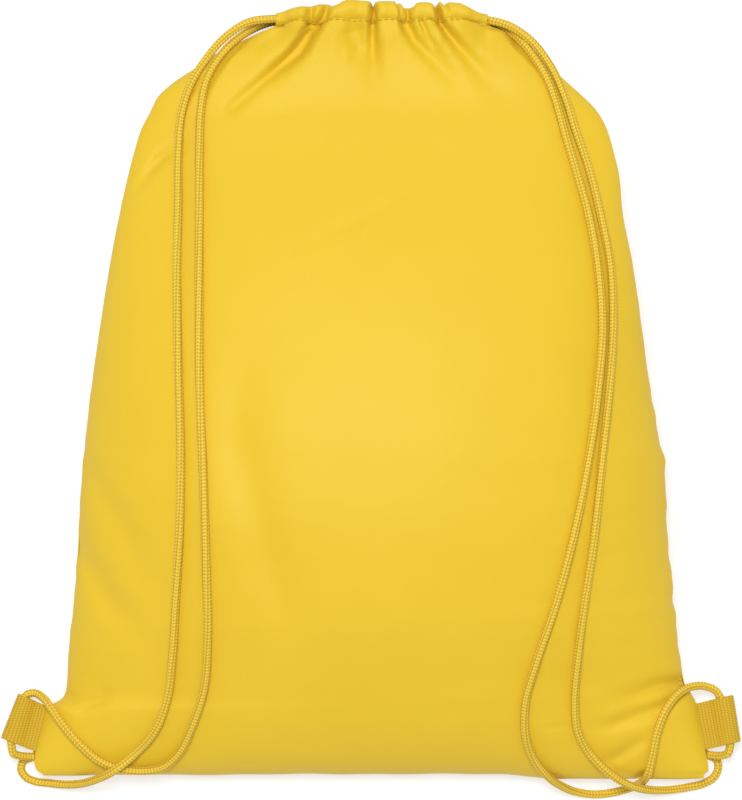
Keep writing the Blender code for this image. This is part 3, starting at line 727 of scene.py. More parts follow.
@dataclass(frozen=True)
class BagShape:
    """The filled bag: where its seams run and how far each panel bulges.

    left and right are (y, x) along the side seams, top and bottom (x, y) along the
    hem's fold and the bottom seam, seam (y, z) along both side seams, and
    pucker_strength (y, share). All but the shares are in millimetres.
    """

    # The two panels: the back's rise above the seams and their meeting there
    bottom_y: float = -188.5
    mouth_y: float = 175.9
    half_width: float = 135.0
    crown: float = 56.0
    crown_y: float = -40.0
    neck_crown: float = 8.0
    flat_share: float = 0.8
    seam_gap: float = 0.2
    lip: float = 1.7
    cloth: float = 0.3
    # The hems: Z of the mouth, their distances from there, their ends and stitching
    mouth_z: float = 22.0
    hem_middle: float = 8.6
    hem_outside: float = 13.7
    hem_left: float = -46.5
    hem_right: float = 56.4
    hem_taper: float = 12.0
    tuck: float = 1.2
    neck_y: float = 158.0
    neck_delay: float = 12.0
    mirror_x: float = 5.0
    stitch_low: float = 177.6
    stitch_rise: float = 2.2
    # The gathers at the mouth
    ruffle_height: float = 7.0
    ruffle_start_y: float = 132.0
    ruffle_full_y: float = 174.0
    front_ruffle_share: float = 0.7
    valley_gain: float = 1.65
    deepest_valley: float = 2.5
    crimp_height: float = 0.3
    crimp_length: float = 7.0
    # Folds, slow swells and the puckers that the seams draw into the cloth
    fold_gain: float = 2.0
    slow_swell: float = 0.45
    slow_length: float = 80.0
    small_swell: float = 0.05
    small_length: float = 27.0
    scallop: float = 0.35
    pucker_height: float = 0.9
    pucker_length: float = 10.0
    pucker_reach: float = 11.0
    pucker_slant: float = 0.12
    left_pucker_share: float = 0.45
    gather_height: float = 0.45
    gather_length: float = 16.0
    gather_reach: float = 9.0
    seam_bend: float = 2.0
    left: Points = (
        (-188.5, -160.5), (-186.1, -163.9), (-182.0, -164.8), (-177.1, -164.3),
        (-165.5, -161.3), (-155.4, -158.9), (-153.6, -155.2), (-151.2, -151.2),
        (-146.3, -149.1), (-127.3, -147.9), (-107.8, -145.7), (-78.5, -143.3),
        (-49.3, -141.7), (-10.2, -137.8), (28.8, -132.4), (67.8, -126.1), (97.1, -120.2),
        (116.6, -115.4), (126.3, -112.4), (134.9, -108.0), (142.2, -104.4), (149.4, -96.8),
        (157.3, -84.8), (163.0, -77.0), (168.2, -66.6), (172.4, -57.9), (177.7, -46.6),
        (182.0, -46.5))
    right: Points = (
        (-188.5, 162.5), (-186.5, 164.8), (-179.0, 163.7), (-175.1, 163.0), (-165.0, 161.1),
        (-153.6, 158.7), (-148.5, 156.0), (-144.4, 153.2), (-134.6, 151.3), (-117.6, 149.0),
        (-93.2, 146.6), (-68.8, 144.1), (-37.6, 142.9), (-20.0, 139.3), (-5.4, 136.8),
        (9.3, 134.4), (38.5, 130.5), (63.0, 126.8), (85.6, 122.4), (104.1, 120.7),
        (115.7, 118.0), (124.9, 115.4), (130.7, 113.0), (136.5, 109.2), (142.3, 103.6),
        (152.7, 92.1), (160.0, 85.2), (166.4, 77.6), (169.3, 73.4), (171.9, 68.5),
        (174.9, 63.0), (177.7, 56.5), (182.0, 56.4))
    top: Points = (
        (-46.5, 182.7), (-43.0, 183.5), (-40.0, 184.6), (-36.5, 185.5), (-33.0, 186.0),
        (-29.5, 185.9), (-27.5, 186.4), (-24.5, 187.0), (-21.5, 187.0), (-18.6, 186.2),
        (-16.5, 186.9), (-11.5, 189.2), (-5.0, 188.8), (-1.0, 188.4), (0.8, 185.5), (2.4, 188.2),
        (6.0, 188.5), (11.0, 188.4), (12.4, 186.7), (13.6, 187.5), (15.8, 185.3),
        (18.5, 185.1), (20.8, 185.8), (22.6, 187.7), (26.0, 188.0), (29.4, 187.4),
        (30.4, 185.4), (31.6, 186.2), (33.4, 188.2), (35.2, 186.6), (37.9, 187.9),
        (42.5, 187.6), (46.0, 186.3), (49.4, 184.4), (52.5, 183.0), (56.4, 182.2))
    bottom: Points = (
        (-166.0, -188.9), (-120.0, -188.8), (0.0, -188.3), (60.0, -188.3), (78.0, -189.5),
        (92.0, -190.7), (150.0, -190.7), (166.0, -190.2))
    seam: Points = (
        (-188.5, 15.0), (-160.0, 15.0), (-110.0, 22.0), (-40.0, 31.0), (50.0, 33.0),
        (120.0, 27.0), (175.9, 22.0))
    pucker_strength: Points = (
        (-190, 0.0), (-150, 0.0), (-135, 0.4), (-100, 0.9), (-25, 0.9), (10, 0.4),
        (60, 0.15), (176, 0.1))

    def pucker(self, hand: Hand, y: np.ndarray) -> np.ndarray:
        """Small waves that the overlock draws into a side seam, about -1 to 1.

        Args:
            hand: which side.
            y: Y of the places.

        Returns:
            The waves, of y's shape.
        """
        pattern = Draw.LEFT_PUCKERS if hand is Hand.LEFT else Draw.RIGHT_PUCKERS
        waves = random_waves(y, y * 0, pattern, self.pucker_length, 5)
        swell = through(self.pucker_strength, y)
        return waves * (swell if hand is Hand.RIGHT else self.left_pucker_share * swell)

    def edge(self, hand: Hand, y: np.ndarray) -> np.ndarray:
        """X of a side seam at y, scalloped by its puckers."""
        points = self.left if hand is Hand.LEFT else self.right
        return through(points, y) - hand.sign * self.scallop * self.pucker(hand, y)

    def across(self, u: np.ndarray, y: np.ndarray) -> np.ndarray:
        """X at y, for the share u from the left seam, -1, to the right one, 1."""
        left, right = self.edge(Hand.LEFT, y), self.edge(Hand.RIGHT, y)
        return left + (right - left) * (u + 1) / 2

    def share_at(self, x: np.ndarray, y: np.ndarray) -> np.ndarray:
        """Share u at which x lies between the side seams at y."""
        left, right = self.edge(Hand.LEFT, y), self.edge(Hand.RIGHT, y)
        return 2 * (x - left) / (right - left) - 1

    def mirrored(self, face: Face, x: np.ndarray) -> np.ndarray:
        """X at which a face's ruffles are read: the front's mirror the back's."""
        return x if face is Face.BACK else 2 * self.mirror_x - x

    def seam_height(self, y: np.ndarray) -> np.ndarray:
        """Height of the side seams above the ground at y."""
        return through(self.seam, y)

    def crown_at(self, y: np.ndarray) -> np.ndarray:
        """Rise of the back panel above its seam along the middle.

        Below the crown it is a power curve that drops steeply to the bottom seam, and
        above it a cosine that falls to the gathered neck.

        Args:
            y: Y of the places.

        Returns:
            Rise in millimetres, of y's shape.
        """
        low = np.clip((self.crown_y - y) / (self.crown_y - self.bottom_y), 0, 1)
        high = np.clip((y - self.crown_y) / (self.mouth_y - self.crown_y), 0, 1)
        below = self.crown * (1 - low**2.4) ** 0.62
        above = self.neck_crown + (self.crown - self.neck_crown) * (
            0.5 + 0.5 * np.cos(math.pi * high)) ** 0.85
        return np.where(y < self.crown_y, below, above)

    def bulge(self, u: np.ndarray, y: np.ndarray) -> np.ndarray:
        """Rise at the share u of the half width: the crown times a rounded profile."""
        return self.crown_at(y) * (1 - np.clip(np.abs(u), 0, 1) ** 2.2) ** 0.7

    def ruffles(self, x: np.ndarray, y: np.ndarray) -> np.ndarray:
        """Height of the gathered cloth over the hem and the neck.

        A rise that starts at the neck, less the valleys between the ruffles, which
        never cut deeper than deepest_valley into the panel, and fine crimps.

        Args:
            x: X of the places.
            y: Y of the places.

        Returns:
            Height in millimetres, of x's shape.
        """
        rise = self.ruffle_height * smoothstep(
            (y - self.ruffle_start_y) / (self.ruffle_full_y - self.ruffle_start_y))
        valleys = self.valley_gain * sum(fold.depth(x, y) for fold in GATHERS)
        crimp = self.crimp_height * random_waves(x, y * 0.25, Draw.CRIMPS, self.crimp_length)
        crimp = crimp * smoothstep((y - 150.0) / 25.0)
        return np.maximum(rise - valleys, -self.deepest_valley) + crimp

    def hem_ends(self, x: np.ndarray) -> np.ndarray:
        """Share that falls from 1 to 0 over the last few millimetres of the hem."""
        return (smoothstep((x - self.hem_left) / self.hem_taper)
                * smoothstep((self.hem_right - x) / self.hem_taper))

    def wrinkles(self, u: np.ndarray, x: np.ndarray, y: np.ndarray) -> np.ndarray:
        """Soft folds, slow swells and the puckers by the seams.

        The swells fade out at the seams. A pucker starts within seam_bend of its seam,
        slants up the bag and dies away over its reach.

        Args:
            u: share of the half width, from the left seam, -1, to the right one, 1.
            x: X of the places.
            y: Y of the places.

        Returns:
            Height above the even panel, of x's shape.
        """
        total = -self.fold_gain * sum(fold.depth(x, y) for fold in FOLDS)
        inner = (1 - np.abs(u) ** 6) * smoothstep((y - self.bottom_y) / 30.0)
        slow = random_waves(x, y, Draw.SLOW_SWELL, self.slow_length)
        small = random_waves(x, y, Draw.SMALL_SWELL, self.small_length)
        total = total + inner * (self.slow_swell * slow + self.small_swell * small)
        for hand in Hand:
            inward = (u * hand.sign < 0) * 1e3 + (1 - np.abs(u)) * self.half_width
            pucker = self.pucker(hand, y + inward * self.pucker_slant)
            total = total + self.pucker_height * pucker * np.exp(
                -inward / self.pucker_reach) * (1 - np.exp(-inward / self.seam_bend))
        low = y - self.bottom_y
        gather = random_waves(x, x * 0, Draw.BOTTOM_GATHERS, self.gather_length, 5)
        gather = gather * np.exp(-low / self.gather_reach)
        return total + self.gather_height * gather * (1 - np.exp(-low / self.seam_bend))

    def top_edge(self, x: np.ndarray) -> np.ndarray:
        """Y of the hem's top fold: higher on each ruffle than between them."""
        return through(self.top, x)

    def stitch_y(self, x: np.ndarray) -> np.ndarray:
        """Y of the stitching under the hem, drawn down where a valley crosses it.

        The stitching rises with the mean height of the ruffles 2 mm to either side.

        Args:
            x: X of the places.

        Returns:
            Y in millimetres, of x's shape.
        """
        level = np.full(x.shape, self.stitch_low + 1.4)
        steps = (-2.0, -1.0, 0.0, 1.0, 2.0)
        lift = sum(self.ruffles(x + step, level) for step in steps) / len(steps)
        share = np.clip(lift / self.ruffle_height, 0, 1)
        return self.stitch_low + self.stitch_rise * share * self.hem_ends(x)

    def hem_z(self, face: Face, outwards: float) -> float:
        """Z at a distance from the mouth's middle plane towards a face's outside."""
        return self.mouth_z + face.sign * outwards

    def height(self, face: Face, u: np.ndarray, x: np.ndarray, y: np.ndarray) -> np.ndarray:
        """Z of a panel's outer side.

        The back panel rises from the seam by the bulge. The front one curves down from
        the seam by a power of what is left of the bulge, and rests flat. Both close on
        the seam within a few millimetres, and lift to the hem from neck_y on.

        Args:
            face: which panel.
            u: share of the half width, from the left seam, -1, to the right one, 1.
            x: X of the places.
            y: Y of the places.

        Returns:
            Z in millimetres, of x's shape.
        """
        seam = self.seam_height(y)
        bulge = self.bulge(u, y)
        lip = self.lip * (1 - np.abs(u) ** 40) * (1 - np.exp(-(y - self.bottom_y) / 2.5))
        foot = self.neck_y + self.neck_delay * np.abs(u) ** 4
        to_hem = smoothstep((y - foot) / (self.stitch_y(x) - foot))
        inside = 1 - np.abs(u) ** 8
        hem = self.hem_z(face, self.hem_outside - self.tuck)
        ruffles = self.ruffles(self.mirrored(face, x), y)
        if face is Face.BACK:
            body = seam + self.seam_gap + lip + bulge + self.wrinkles(u, x, y)
            share = inside + (self.hem_ends(x) - inside) * to_hem
            return body + (hem - body) * to_hem + ruffles * share
        left = 1 - np.clip(bulge / (self.flat_share * self.crown), 0, 1)
        body = (seam - self.seam_gap - lip) * left**2.5
        body = body + 0.5 * self.wrinkles(-u, -x, y) * left * (1 - left) * 3
        ruffles = self.front_ruffle_share * ruffles
        body = body + (hem - body) * to_hem - ruffles * to_hem * inside
        return np.maximum(body, GROUND_GAP)


@dataclass(frozen=True)
class CordRoutes:
    """Where both cords lie, and how the cloth gives way under them.

    A cord above lying_z lies on the back panel. The cloth stays clearance below it, and
    beside it rises by dent for each square millimetre of distance, out to widest_dent
    square millimetres. reach is the margin in which cloth is tried for a dent at all.
    """

    diameter: float = 4.0
    step: float = 0.34
    lying_z: float = 12.0
    clearance: float = 0.22
    dent: float = 0.22
    reach: float = 9.0
    widest_dent: float = 70.0
    softness: float = 0.03

    def path(self, hand: Hand, step: float | None = None) -> np.ndarray:
        """Even places along one whole cord.

        Args:
            hand: which cord.
            step: about how far apart the places are, or None for the fine step.

        Returns:
            (N, 3) places in millimetres, from knot to knot.
        """
        start, end = KNOT_ENDS[hand]
        points = (start, *(np.array(ROUTES[hand]) / MM), *(np.array(TAILS[hand]) / MM), end)
        return smooth_path(np.array(points, dtype=float), step or self.step)

    def press(self, x: np.ndarray, y: np.ndarray, z: np.ndarray) -> np.ndarray:
        """Push cloth down under the cords that lie on it.

        Under a cord the cloth keeps clear of it, and beside it the limit rises with
        the square of the distance.

        Args:
            x: X of the cloth.
            y: Y of the cloth.
            z: Z of the cloth before the cords press on it.

        Returns:
            Z of the cloth under the cords.
        """
        free = 1e3
        result = z.copy()
        for hand in Hand:
            path = self.path(hand, 2.0)
            path = path[path[:, 2] > self.lying_z]
            for part in np.array_split(path, 12):
                low, high = part.min(0) - self.reach, part.max(0) + self.reach
                near = np.nonzero((x > low[0]) & (x < high[0]) & (y > low[1]) & (y < high[1]))
                gap = ((x[near][:, None] - part[:, 0]) ** 2
                       + (y[near][:, None] - part[:, 1]) ** 2)
                above = part[:, 2] > z[near][:, None] - self.diameter
                limit = part[:, 2] - self.diameter / 2 - self.clearance + self.dent * gap
                limit = np.where(above & (gap < self.widest_dent), limit, free).min(1)
                kept = result[near]
                softer = 0.5 * (kept + limit - np.sqrt((kept - limit) ** 2 + self.softness))
                result[near] = np.where(limit < free / 2, softer, kept)
        return result


@dataclass
class Panels:
    """Two woven panels and the hems folded over at their mouth."""

    shape: BagShape
    cords: CordRoutes
    finishes: Finishes
    columns: int = 214
    rows: int = 220
    hem_columns: int = 420
    hem_around: int = 44
    crowd_mouth: float = 0.16
    crowd_ends: float = 0.10
    allowance: float = 0.6
    hem_inside: float = 5.4
    flat_width: float = 330.0
    flat_length: float = 440.0
    flat_hem: float = 6.0

    def grid(self, face: Face) -> tuple[np.ndarray, np.ndarray]:
        """Places and flat coordinates of one panel.

        Across, the share u of the half width is the sine of an even parameter, so the
        columns crowd towards the seams. Along, a power crowds the rows to the mouth.

        Args:
            face: which panel.

        Returns:
            Places (rows, columns, 3) in millimetres, and flat coordinates in metres.
        """
        s = np.linspace(-1, 1, self.columns)[None, :]
        u = np.sin(s * math.pi / 2) * np.ones((self.rows, 1))
        t = np.linspace(0, 1, self.rows)[:, None]
        t = t + self.crowd_mouth * np.sin(math.pi * t) * t
        t = t - self.crowd_ends * np.sin(2 * math.pi * t) * (1 - t)
        shape = self.shape
        y = shape.bottom_y + (shape.mouth_y - shape.bottom_y) * t * np.ones_like(u)
        x = shape.across(u, y)
        top = shape.stitch_y(x) + self.allowance
        bottom = through(shape.bottom, x)
        bottom = bottom + 0.15 * random_waves(x, x * 0, Draw.BOTTOM_EDGE, 30.0, 4)
        y = bottom + (top - bottom) * t
        x = shape.across(u, y)
        form = y + (shape.bottom_y - bottom) * np.exp((bottom - y) / 15.0)
        z = shape.height(face, u, x, form)
        if face is Face.BACK:
            z = self.cords.press(x, y, z)
        flat = np.stack((u * self.flat_width / 2, t * self.flat_length * np.ones_like(u)),
                        axis=-1) * MM
        return np.stack((x, y, z), axis=-1), flat

    def panel(self, face: Face) -> bpy.types.Object:
        """Cloth of one panel, replacing its CAD node.

        Args:
            face: which panel.

        Returns:
            The panel's cloth.
        """
        places, flat = self.grid(face)
        cloth = surface_object(f"{face.value}_panel_cloth", places, uv=flat,
                               flip=face is Face.FRONT)
        self.finish(cloth, f"{face.value}_panel")
        return cloth

    def finish(self, cloth: bpy.types.Object, node: str) -> None:
        """Thickness on the inside, cloth finish, on the bag, in place of a CAD node."""
        wall = cloth.modifiers.new("cloth thickness", "SOLIDIFY")
        wall.thickness = self.shape.cloth * MM
        wall.offset = -1.0
        dress(cloth, self.finishes.cloth, "cloth", node)
        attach(cloth, "bag")

    def casing(self, face: Face) -> bpy.types.Object:
        """Hem folded over and stitched down, a tunnel round both cords.

        Each section is a rounded box from the stitching to the top fold. Its outer
        side carries the ruffles, and its inner side runs straight.

        Args:
            face: which panel's hem.

        Returns:
            The tunnel's cloth, replacing its CAD node.
        """
        shape = self.shape
        x = np.linspace(shape.hem_left, shape.hem_right, self.hem_columns)[:, None]
        angle = ring_angles(self.hem_around)[None] - math.pi
        mirrored = shape.mirrored(face, x)
        bottom = shape.stitch_y(mirrored) - 0.5
        top = shape.top_edge(x)
        middle, half = (top + bottom) / 2, (top - bottom) / 2
        along = np.sign(np.cos(angle)) * np.abs(np.cos(angle)) ** 0.75
        rise = np.sign(np.sin(angle)) * np.abs(np.sin(angle)) ** 0.6
        y = middle + half * along
        outside = shape.hem_outside - shape.hem_middle
        ruffle = np.maximum(shape.ruffles(mirrored, y), -0.2) * shape.hem_ends(mirrored)
        lift = smoothstep((rise + 0.2) / 1.0)
        low_lip = smoothstep((middle - y) / (1.02 * half)) * 1.4
        z = np.where(rise > 0, (outside - low_lip) * rise, self.hem_inside * rise)
        z = shape.hem_z(face, shape.hem_middle + z + ruffle * lift)
        x_all = x + 0.25 * random_waves(y, z, Draw.HEM_SIDES, 6.0)
        places = np.stack((np.clip(x_all, shape.hem_left, shape.hem_right), y,
                           np.maximum(z, GROUND_GAP)), axis=-1)
        across = (x - shape.hem_left) / (shape.hem_right - shape.hem_left)
        flat = np.stack((across * self.flat_width * np.ones_like(y),
                         self.flat_length + angle * self.flat_hem * np.ones_like(y)),
                        axis=-1) * MM
        cloth = surface_object(f"{face.value}_hem_cloth", places, ring=True, uv=flat,
                               flip=face is Face.BACK)
        self.finish(cloth, f"{face.value}_hem_tunnel")
        return cloth

    def build(self) -> None:
        """Make both panels with their hems and seams."""
        seams = Seams(self.shape, self.finishes)
        for face in Face:
            cloth = self.panel(face)
            trims = [self.casing(face), seams.hem_stitching(face)]
            LOG.info("%s panel, hem and stitching", face.value)
        seams.build()


@dataclass
class Seams:
    """Sewing thread: hem stitching, overlocked seams and bartacks."""

    shape: BagShape
    finishes: Finishes
    stitch_length: float = 2.1
    stitch_pitch: float = 3.0
    thread: float = 0.32
    proud: float = 0.35
    end_margin: float = 1.5
    loop_pitch: float = 2.4
    strip_width: float = 4.0
    strip_inset: float = 0.8
    sides: int = 16
    seam_low: float = -150.0
    seam_high: float = 168.5
    seam_half_length: float = 154.0

    def stitches(self, name: str, line: np.ndarray, up: np.ndarray) -> bpy.types.Object:
        """Row of short threads along a line.

        Each stitch is a spindle: its half thickness is the square root of a parabola
        along the stitch, and its ends sink into the cloth.

        Args:
            name: the piece's name.
            line: (N, 3) places on the cloth.
            up: direction out of the cloth.

        Returns:
            The stitches as one object.
        """
        run = run_along(line)
        starts = np.arange(1.0, run[-1] - self.stitch_length, self.stitch_pitch)
        s = np.linspace(0, 1, 7)
        places = starts[:, None] + s[None, :] * self.stitch_length
        core = np.stack([np.interp(places, run, line[:, k]) for k in range(3)], axis=-1)
        along = np.gradient(core, axis=1)
        along /= np.linalg.norm(along, axis=-1, keepdims=True)
        side = np.cross(along, up)
        side /= np.linalg.norm(side, axis=-1, keepdims=True)
        normal = np.cross(side, along)
        radius = self.thread * np.sqrt(np.clip(1.02 - (2 * s - 1) ** 2, 0.02, 1))
        angle = ring_angles(8)
        lift = (radius - 0.5 * self.thread * (2 * s - 1) ** 4)[None, :, None, None]
        ring = (side[:, :, None] * np.cos(angle)[:, None]
                + normal[:, :, None] * np.sin(angle)[:, None])
        grid = (core[:, :, None] + ring * radius[None, :, None, None]
                + normal[:, :, None] * lift * 0.6)
        relief = np.full(grid.shape[1:3], 0.7)
        pieces = [surface_object(f"{name}_{k}", grid[k], ring=True, caps=True, relief=relief)
                  for k in range(len(starts))]
        return joined(name, pieces)

    def hem_stitching(self, face: Face) -> bpy.types.Object:
        """Line of stitches under one hem, replacing its CAD node.

        Args:
            face: which panel's hem.

        Returns:
            The stitches as one object.
        """
        shape = self.shape
        x = np.linspace(shape.hem_left + self.end_margin, shape.hem_right - self.end_margin,
                        700)
        y = shape.stitch_y(shape.mirrored(face, x)) - 0.1
        z = shape.height(face, shape.share_at(x, y), x, y) + face.sign * self.proud
        made = self.stitches(f"{face.value}_hem_stitches", np.stack((x, y, z), axis=-1),
                             np.array((0.0, 0.0, float(face.sign))))
        self.sew_on(made, f"{face.value}_hem_stitching")
        return made

    def sew_on(self, made: bpy.types.Object, node: str) -> None:
        """Thread finish, on the bag, in place of a CAD node."""
        dress(made, self.finishes.thread, "thread", node)
        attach(made, "bag")

    def overlock(self, name: str, line: np.ndarray, inward: np.ndarray) -> bpy.types.Object:
        """Overlocked strip inside a seam, its loops drawn as ridges across it.

        Args:
            name: the piece's name.
            line: (N, 3) places along the seam.
            inward: (N, 3) unit directions from the seam into the bag.

        Returns:
            The strip as one object.
        """
        angle = ring_angles(self.sides)
        ridge = ripple(run_along(line) / self.loop_pitch)[:, None]
        half = 0.35 + 0.15 * ridge
        depth = self.strip_inset + self.strip_width / 2 * (1 + np.cos(angle)[None, :])
        grid = (line[:, None] + inward[:, None] * depth[..., None]
                + np.array((0.0, 0.0, 1.0)) * (half * np.sin(angle)[None, :])[..., None])
        # The loop ridges also set painted shade between the loops and painted highlight on them
        relief = ridge * np.ones((1, self.sides))
        return surface_object(name, grid, ring=True, caps=True, relief=relief)

    def side_seam(self, hand: Hand) -> None:
        """Overlocked strip of one side, replacing its CAD node.

        Args:
            hand: which side.
        """
        y = np.linspace(self.seam_low, self.seam_high, 1000)
        x = self.shape.edge(hand, y)
        line = np.stack((x, y, self.shape.seam_height(y)), axis=-1)
        inward = np.array((-hand.sign, 0.0, 0.0)) * np.ones((len(y), 1))
        made = self.overlock(f"{hand.value}_overlock", line, inward)
        self.sew_on(made, f"{hand.value}_side_seam")

    def bottom_seam(self) -> None:
        """Overlocked strip along the bottom, replacing its CAD node."""
        x = np.linspace(-self.seam_half_length, self.seam_half_length, 900)
        y = np.full_like(x, self.shape.bottom_y) + 0.4
        line = np.stack((x, y, self.shape.seam_height(y)), axis=-1)
        inward = np.array((0.0, 1.0, 0.0)) * np.ones((len(x), 1))
        self.sew_on(self.overlock("bottom_overlock", line, inward), "bottom_seam")

    def bartack(self, hand: Hand) -> None:
        """Dense satin stitches that close one side slit: a pad with ridges across.

        Its section is an ellipse in the CAD node's box, which shrinks to a point at
        both ends by the root of an eighth power.

        Args:
            hand: which side.
        """
        low, high = (np.array(corner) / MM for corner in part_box(f"{hand.value}_mouth_bartack"))
        s = np.linspace(0, 1, 49)[:, None]
        angle = ring_angles(self.sides)[None]
        middle, half = (low + high) / 2, (high - low) / 2
        ridge = ripple(s * 14)
        size = (0.85 + 0.15 * ridge) * (1 - (2 * s - 1) ** 8) ** 0.5 + 0.02
        long_axis = int(np.argmax(half))
        short = [k for k in range(3) if k != long_axis]
        grid = np.empty((len(s), self.sides, 3))
        grid[..., long_axis] = middle[long_axis] + half[long_axis] * (2 * s - 1)
        grid[..., short[0]] = middle[short[0]] + half[short[0]] * size * np.cos(angle)
        grid[..., short[1]] = middle[short[1]] + half[short[1]] * size * np.sin(angle)
        # The ridges also set painted shade between the satin stitches and painted highlight on
        # them
        made = surface_object(f"{hand.value}_bartack", grid, ring=True, caps=True,
                              relief=ridge * np.ones((1, self.sides)))
        self.sew_on(made, f"{hand.value}_mouth_bartack")

    def build(self) -> None:
        """Make the seams and bartacks."""
        for hand in Hand:
            self.side_seam(hand)
            self.bartack(hand)
        self.bottom_seam()
        LOG.info("seams and bartacks")


def hinge_point(hand: Hand) -> np.ndarray:
    """Middle of the line about which one webbing loop folds, in millimetres."""
    joint = next(j for j in frame["joints"] if j["name"] == f"{hand.value}_loop_fold")
    return np.array(joint["pos_m"]) / MM


@dataclass(frozen=True)
class LoopLie:
    """How one webbing loop lies: its turn in degrees, its reach and its skew."""

    tilt: float
    reach: float
    flare: float
    slide: float


LOOP_LIES = {Hand.LEFT: LoopLie(tilt=14.0, reach=14.5, flare=1.5, slide=2.3),
             Hand.RIGHT: LoopLie(tilt=11.0, reach=15.9, flare=-0.4, slide=0.7)}
# Upper half of the folded webbing: (out, up) from the hinge line, for plain_reach
LOOP_PROFILE = ((-0.5, 0.6), (1.6, 0.68), (3.4, 0.95), (6.2, 2.35), (9.2, 3.3),
                (11.6, 3.0), (13.3, 1.75), (13.9, 0.0))


@dataclass
class Webbing:
    """Loop of ribbed webbing in one bottom corner, and its ends in the seam."""

    hand: Hand
    lie: LoopLie
    finishes: Finishes
    plain_reach: float = 14.5
    sewn_rise: float = 0.62
    width: float = 23.0
    wall: float = 1.1
    rib_pitch: float = 1.6
    bead_pitch: float = 1.25

    def axes(self) -> tuple[np.ndarray, np.ndarray]:
        """Directions out from the bag and up along the seam.

        Returns:
            Two unit vectors in the plane of the ground.
        """
        tilt = math.radians(self.lie.tilt)
        out = np.array((self.hand.sign * math.cos(tilt), math.sin(tilt), 0.0))
        along = np.array((-self.hand.sign * math.sin(tilt), math.cos(tilt), 0.0))
        return out, along

    def band(self, name: str, profile: np.ndarray, sheared: bool) -> bpy.types.Object:
        """Webbing that follows a profile in the plane across the seam.

        The tape's section is a flat ring swept along the profile. Its outer side has
        ribs across the profile, each broken into beads by the warp.

        Args:
            name: the piece's name.
            profile: (N, 2) places: out from the hinge line, and up.
            sheared: whether the free end flares and slides as the loop does.

        Returns:
            The webbing as one object.
        """
        path = smooth_path(np.column_stack((profile, np.zeros(len(profile)))), 0.18)[:, :2]
        tangent = np.gradient(path, axis=0)
        tangent /= np.linalg.norm(tangent, axis=1, keepdims=True)
        normal = np.stack((-tangent[:, 1], tangent[:, 0]), axis=-1)
        run = run_along(path)[:, None]
        half = self.width / 2
        across = np.linspace(-half, half, 98)[None, :]
        row = np.floor(run / self.rib_pitch)
        rib = np.abs(np.sin(math.pi * run / self.rib_pitch)) ** 0.7
        bead = ripple(across / self.bead_pitch + 0.5 * row)
        height = rib * (0.3 + 0.7 * bead)
        edge = 1 - smoothstep((np.abs(across) - half + 0.7) / 0.7) * 0.5
        outer = (self.wall / 2 + 0.26 * (height - 0.6)) * edge
        inner = -self.wall / 2 * edge[:, ::4] * np.ones_like(run)
        offset = np.hstack((outer, inner[:, ::-1]))
        place = np.hstack((across, across[:, ::4][:, ::-1])) * np.ones_like(run)
        out_mm = path[:, :1] + normal[:, :1] * offset
        up_mm = path[:, 1:] + normal[:, 1:] * offset
        if sheared:
            share = np.clip(out_mm / self.lie.reach, 0, 1)
            out_mm = out_mm * (1 - self.lie.flare * place / half / self.lie.reach)
            place = place + self.lie.slide * share
        out, along = self.axes()
        grid = (hinge_point(self.hand) + out_mm[..., None] * out + place[..., None] * along
                + up_mm[..., None] * np.array((0.0, 0.0, 1.0)))
        # Rib and bead heights also set painted shade in the grooves and painted highlight on the
        # beads; the inner side gets a middle tone
        relief = np.hstack((height * np.ones_like(across), np.full(inner.shape, 0.5)))
        return surface_object(name, grid, ring=True, caps=True, relief=relief,
                              flip=self.hand is Hand.LEFT)

    def build(self) -> None:
        """Make the loop on its joint, and the sewn ends on the bag."""
        side = self.hand.value
        half = np.array(LOOP_PROFILE) * (self.lie.reach / self.plain_reach, 1.0)
        profile = np.vstack((half, half[-2::-1] * (1.0, -1.0)))
        loop = self.band(f"{side}_ribbed_loop", profile, True)
        dress(loop, self.finishes.webbing, "webbing", f"{side}_webbing_loop")
        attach(loop, f"{side}_loop")
        upper = np.array([(out, self.sewn_rise) for out in (-8.5, -4.0, -0.2)])
        lower = upper[::-1] * (1.0, -1.0)
        sewn = joined(f"{side}_sewn_webbing", [self.band(f"{side}_sewn_upper", upper, False),
                                               self.band(f"{side}_sewn_lower", lower, False)])
        dress(sewn, self.finishes.webbing, "webbing", f"{side}_loop_anchor")
        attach(sewn, "bag")
        LOG.info("%s webbing loop", side)


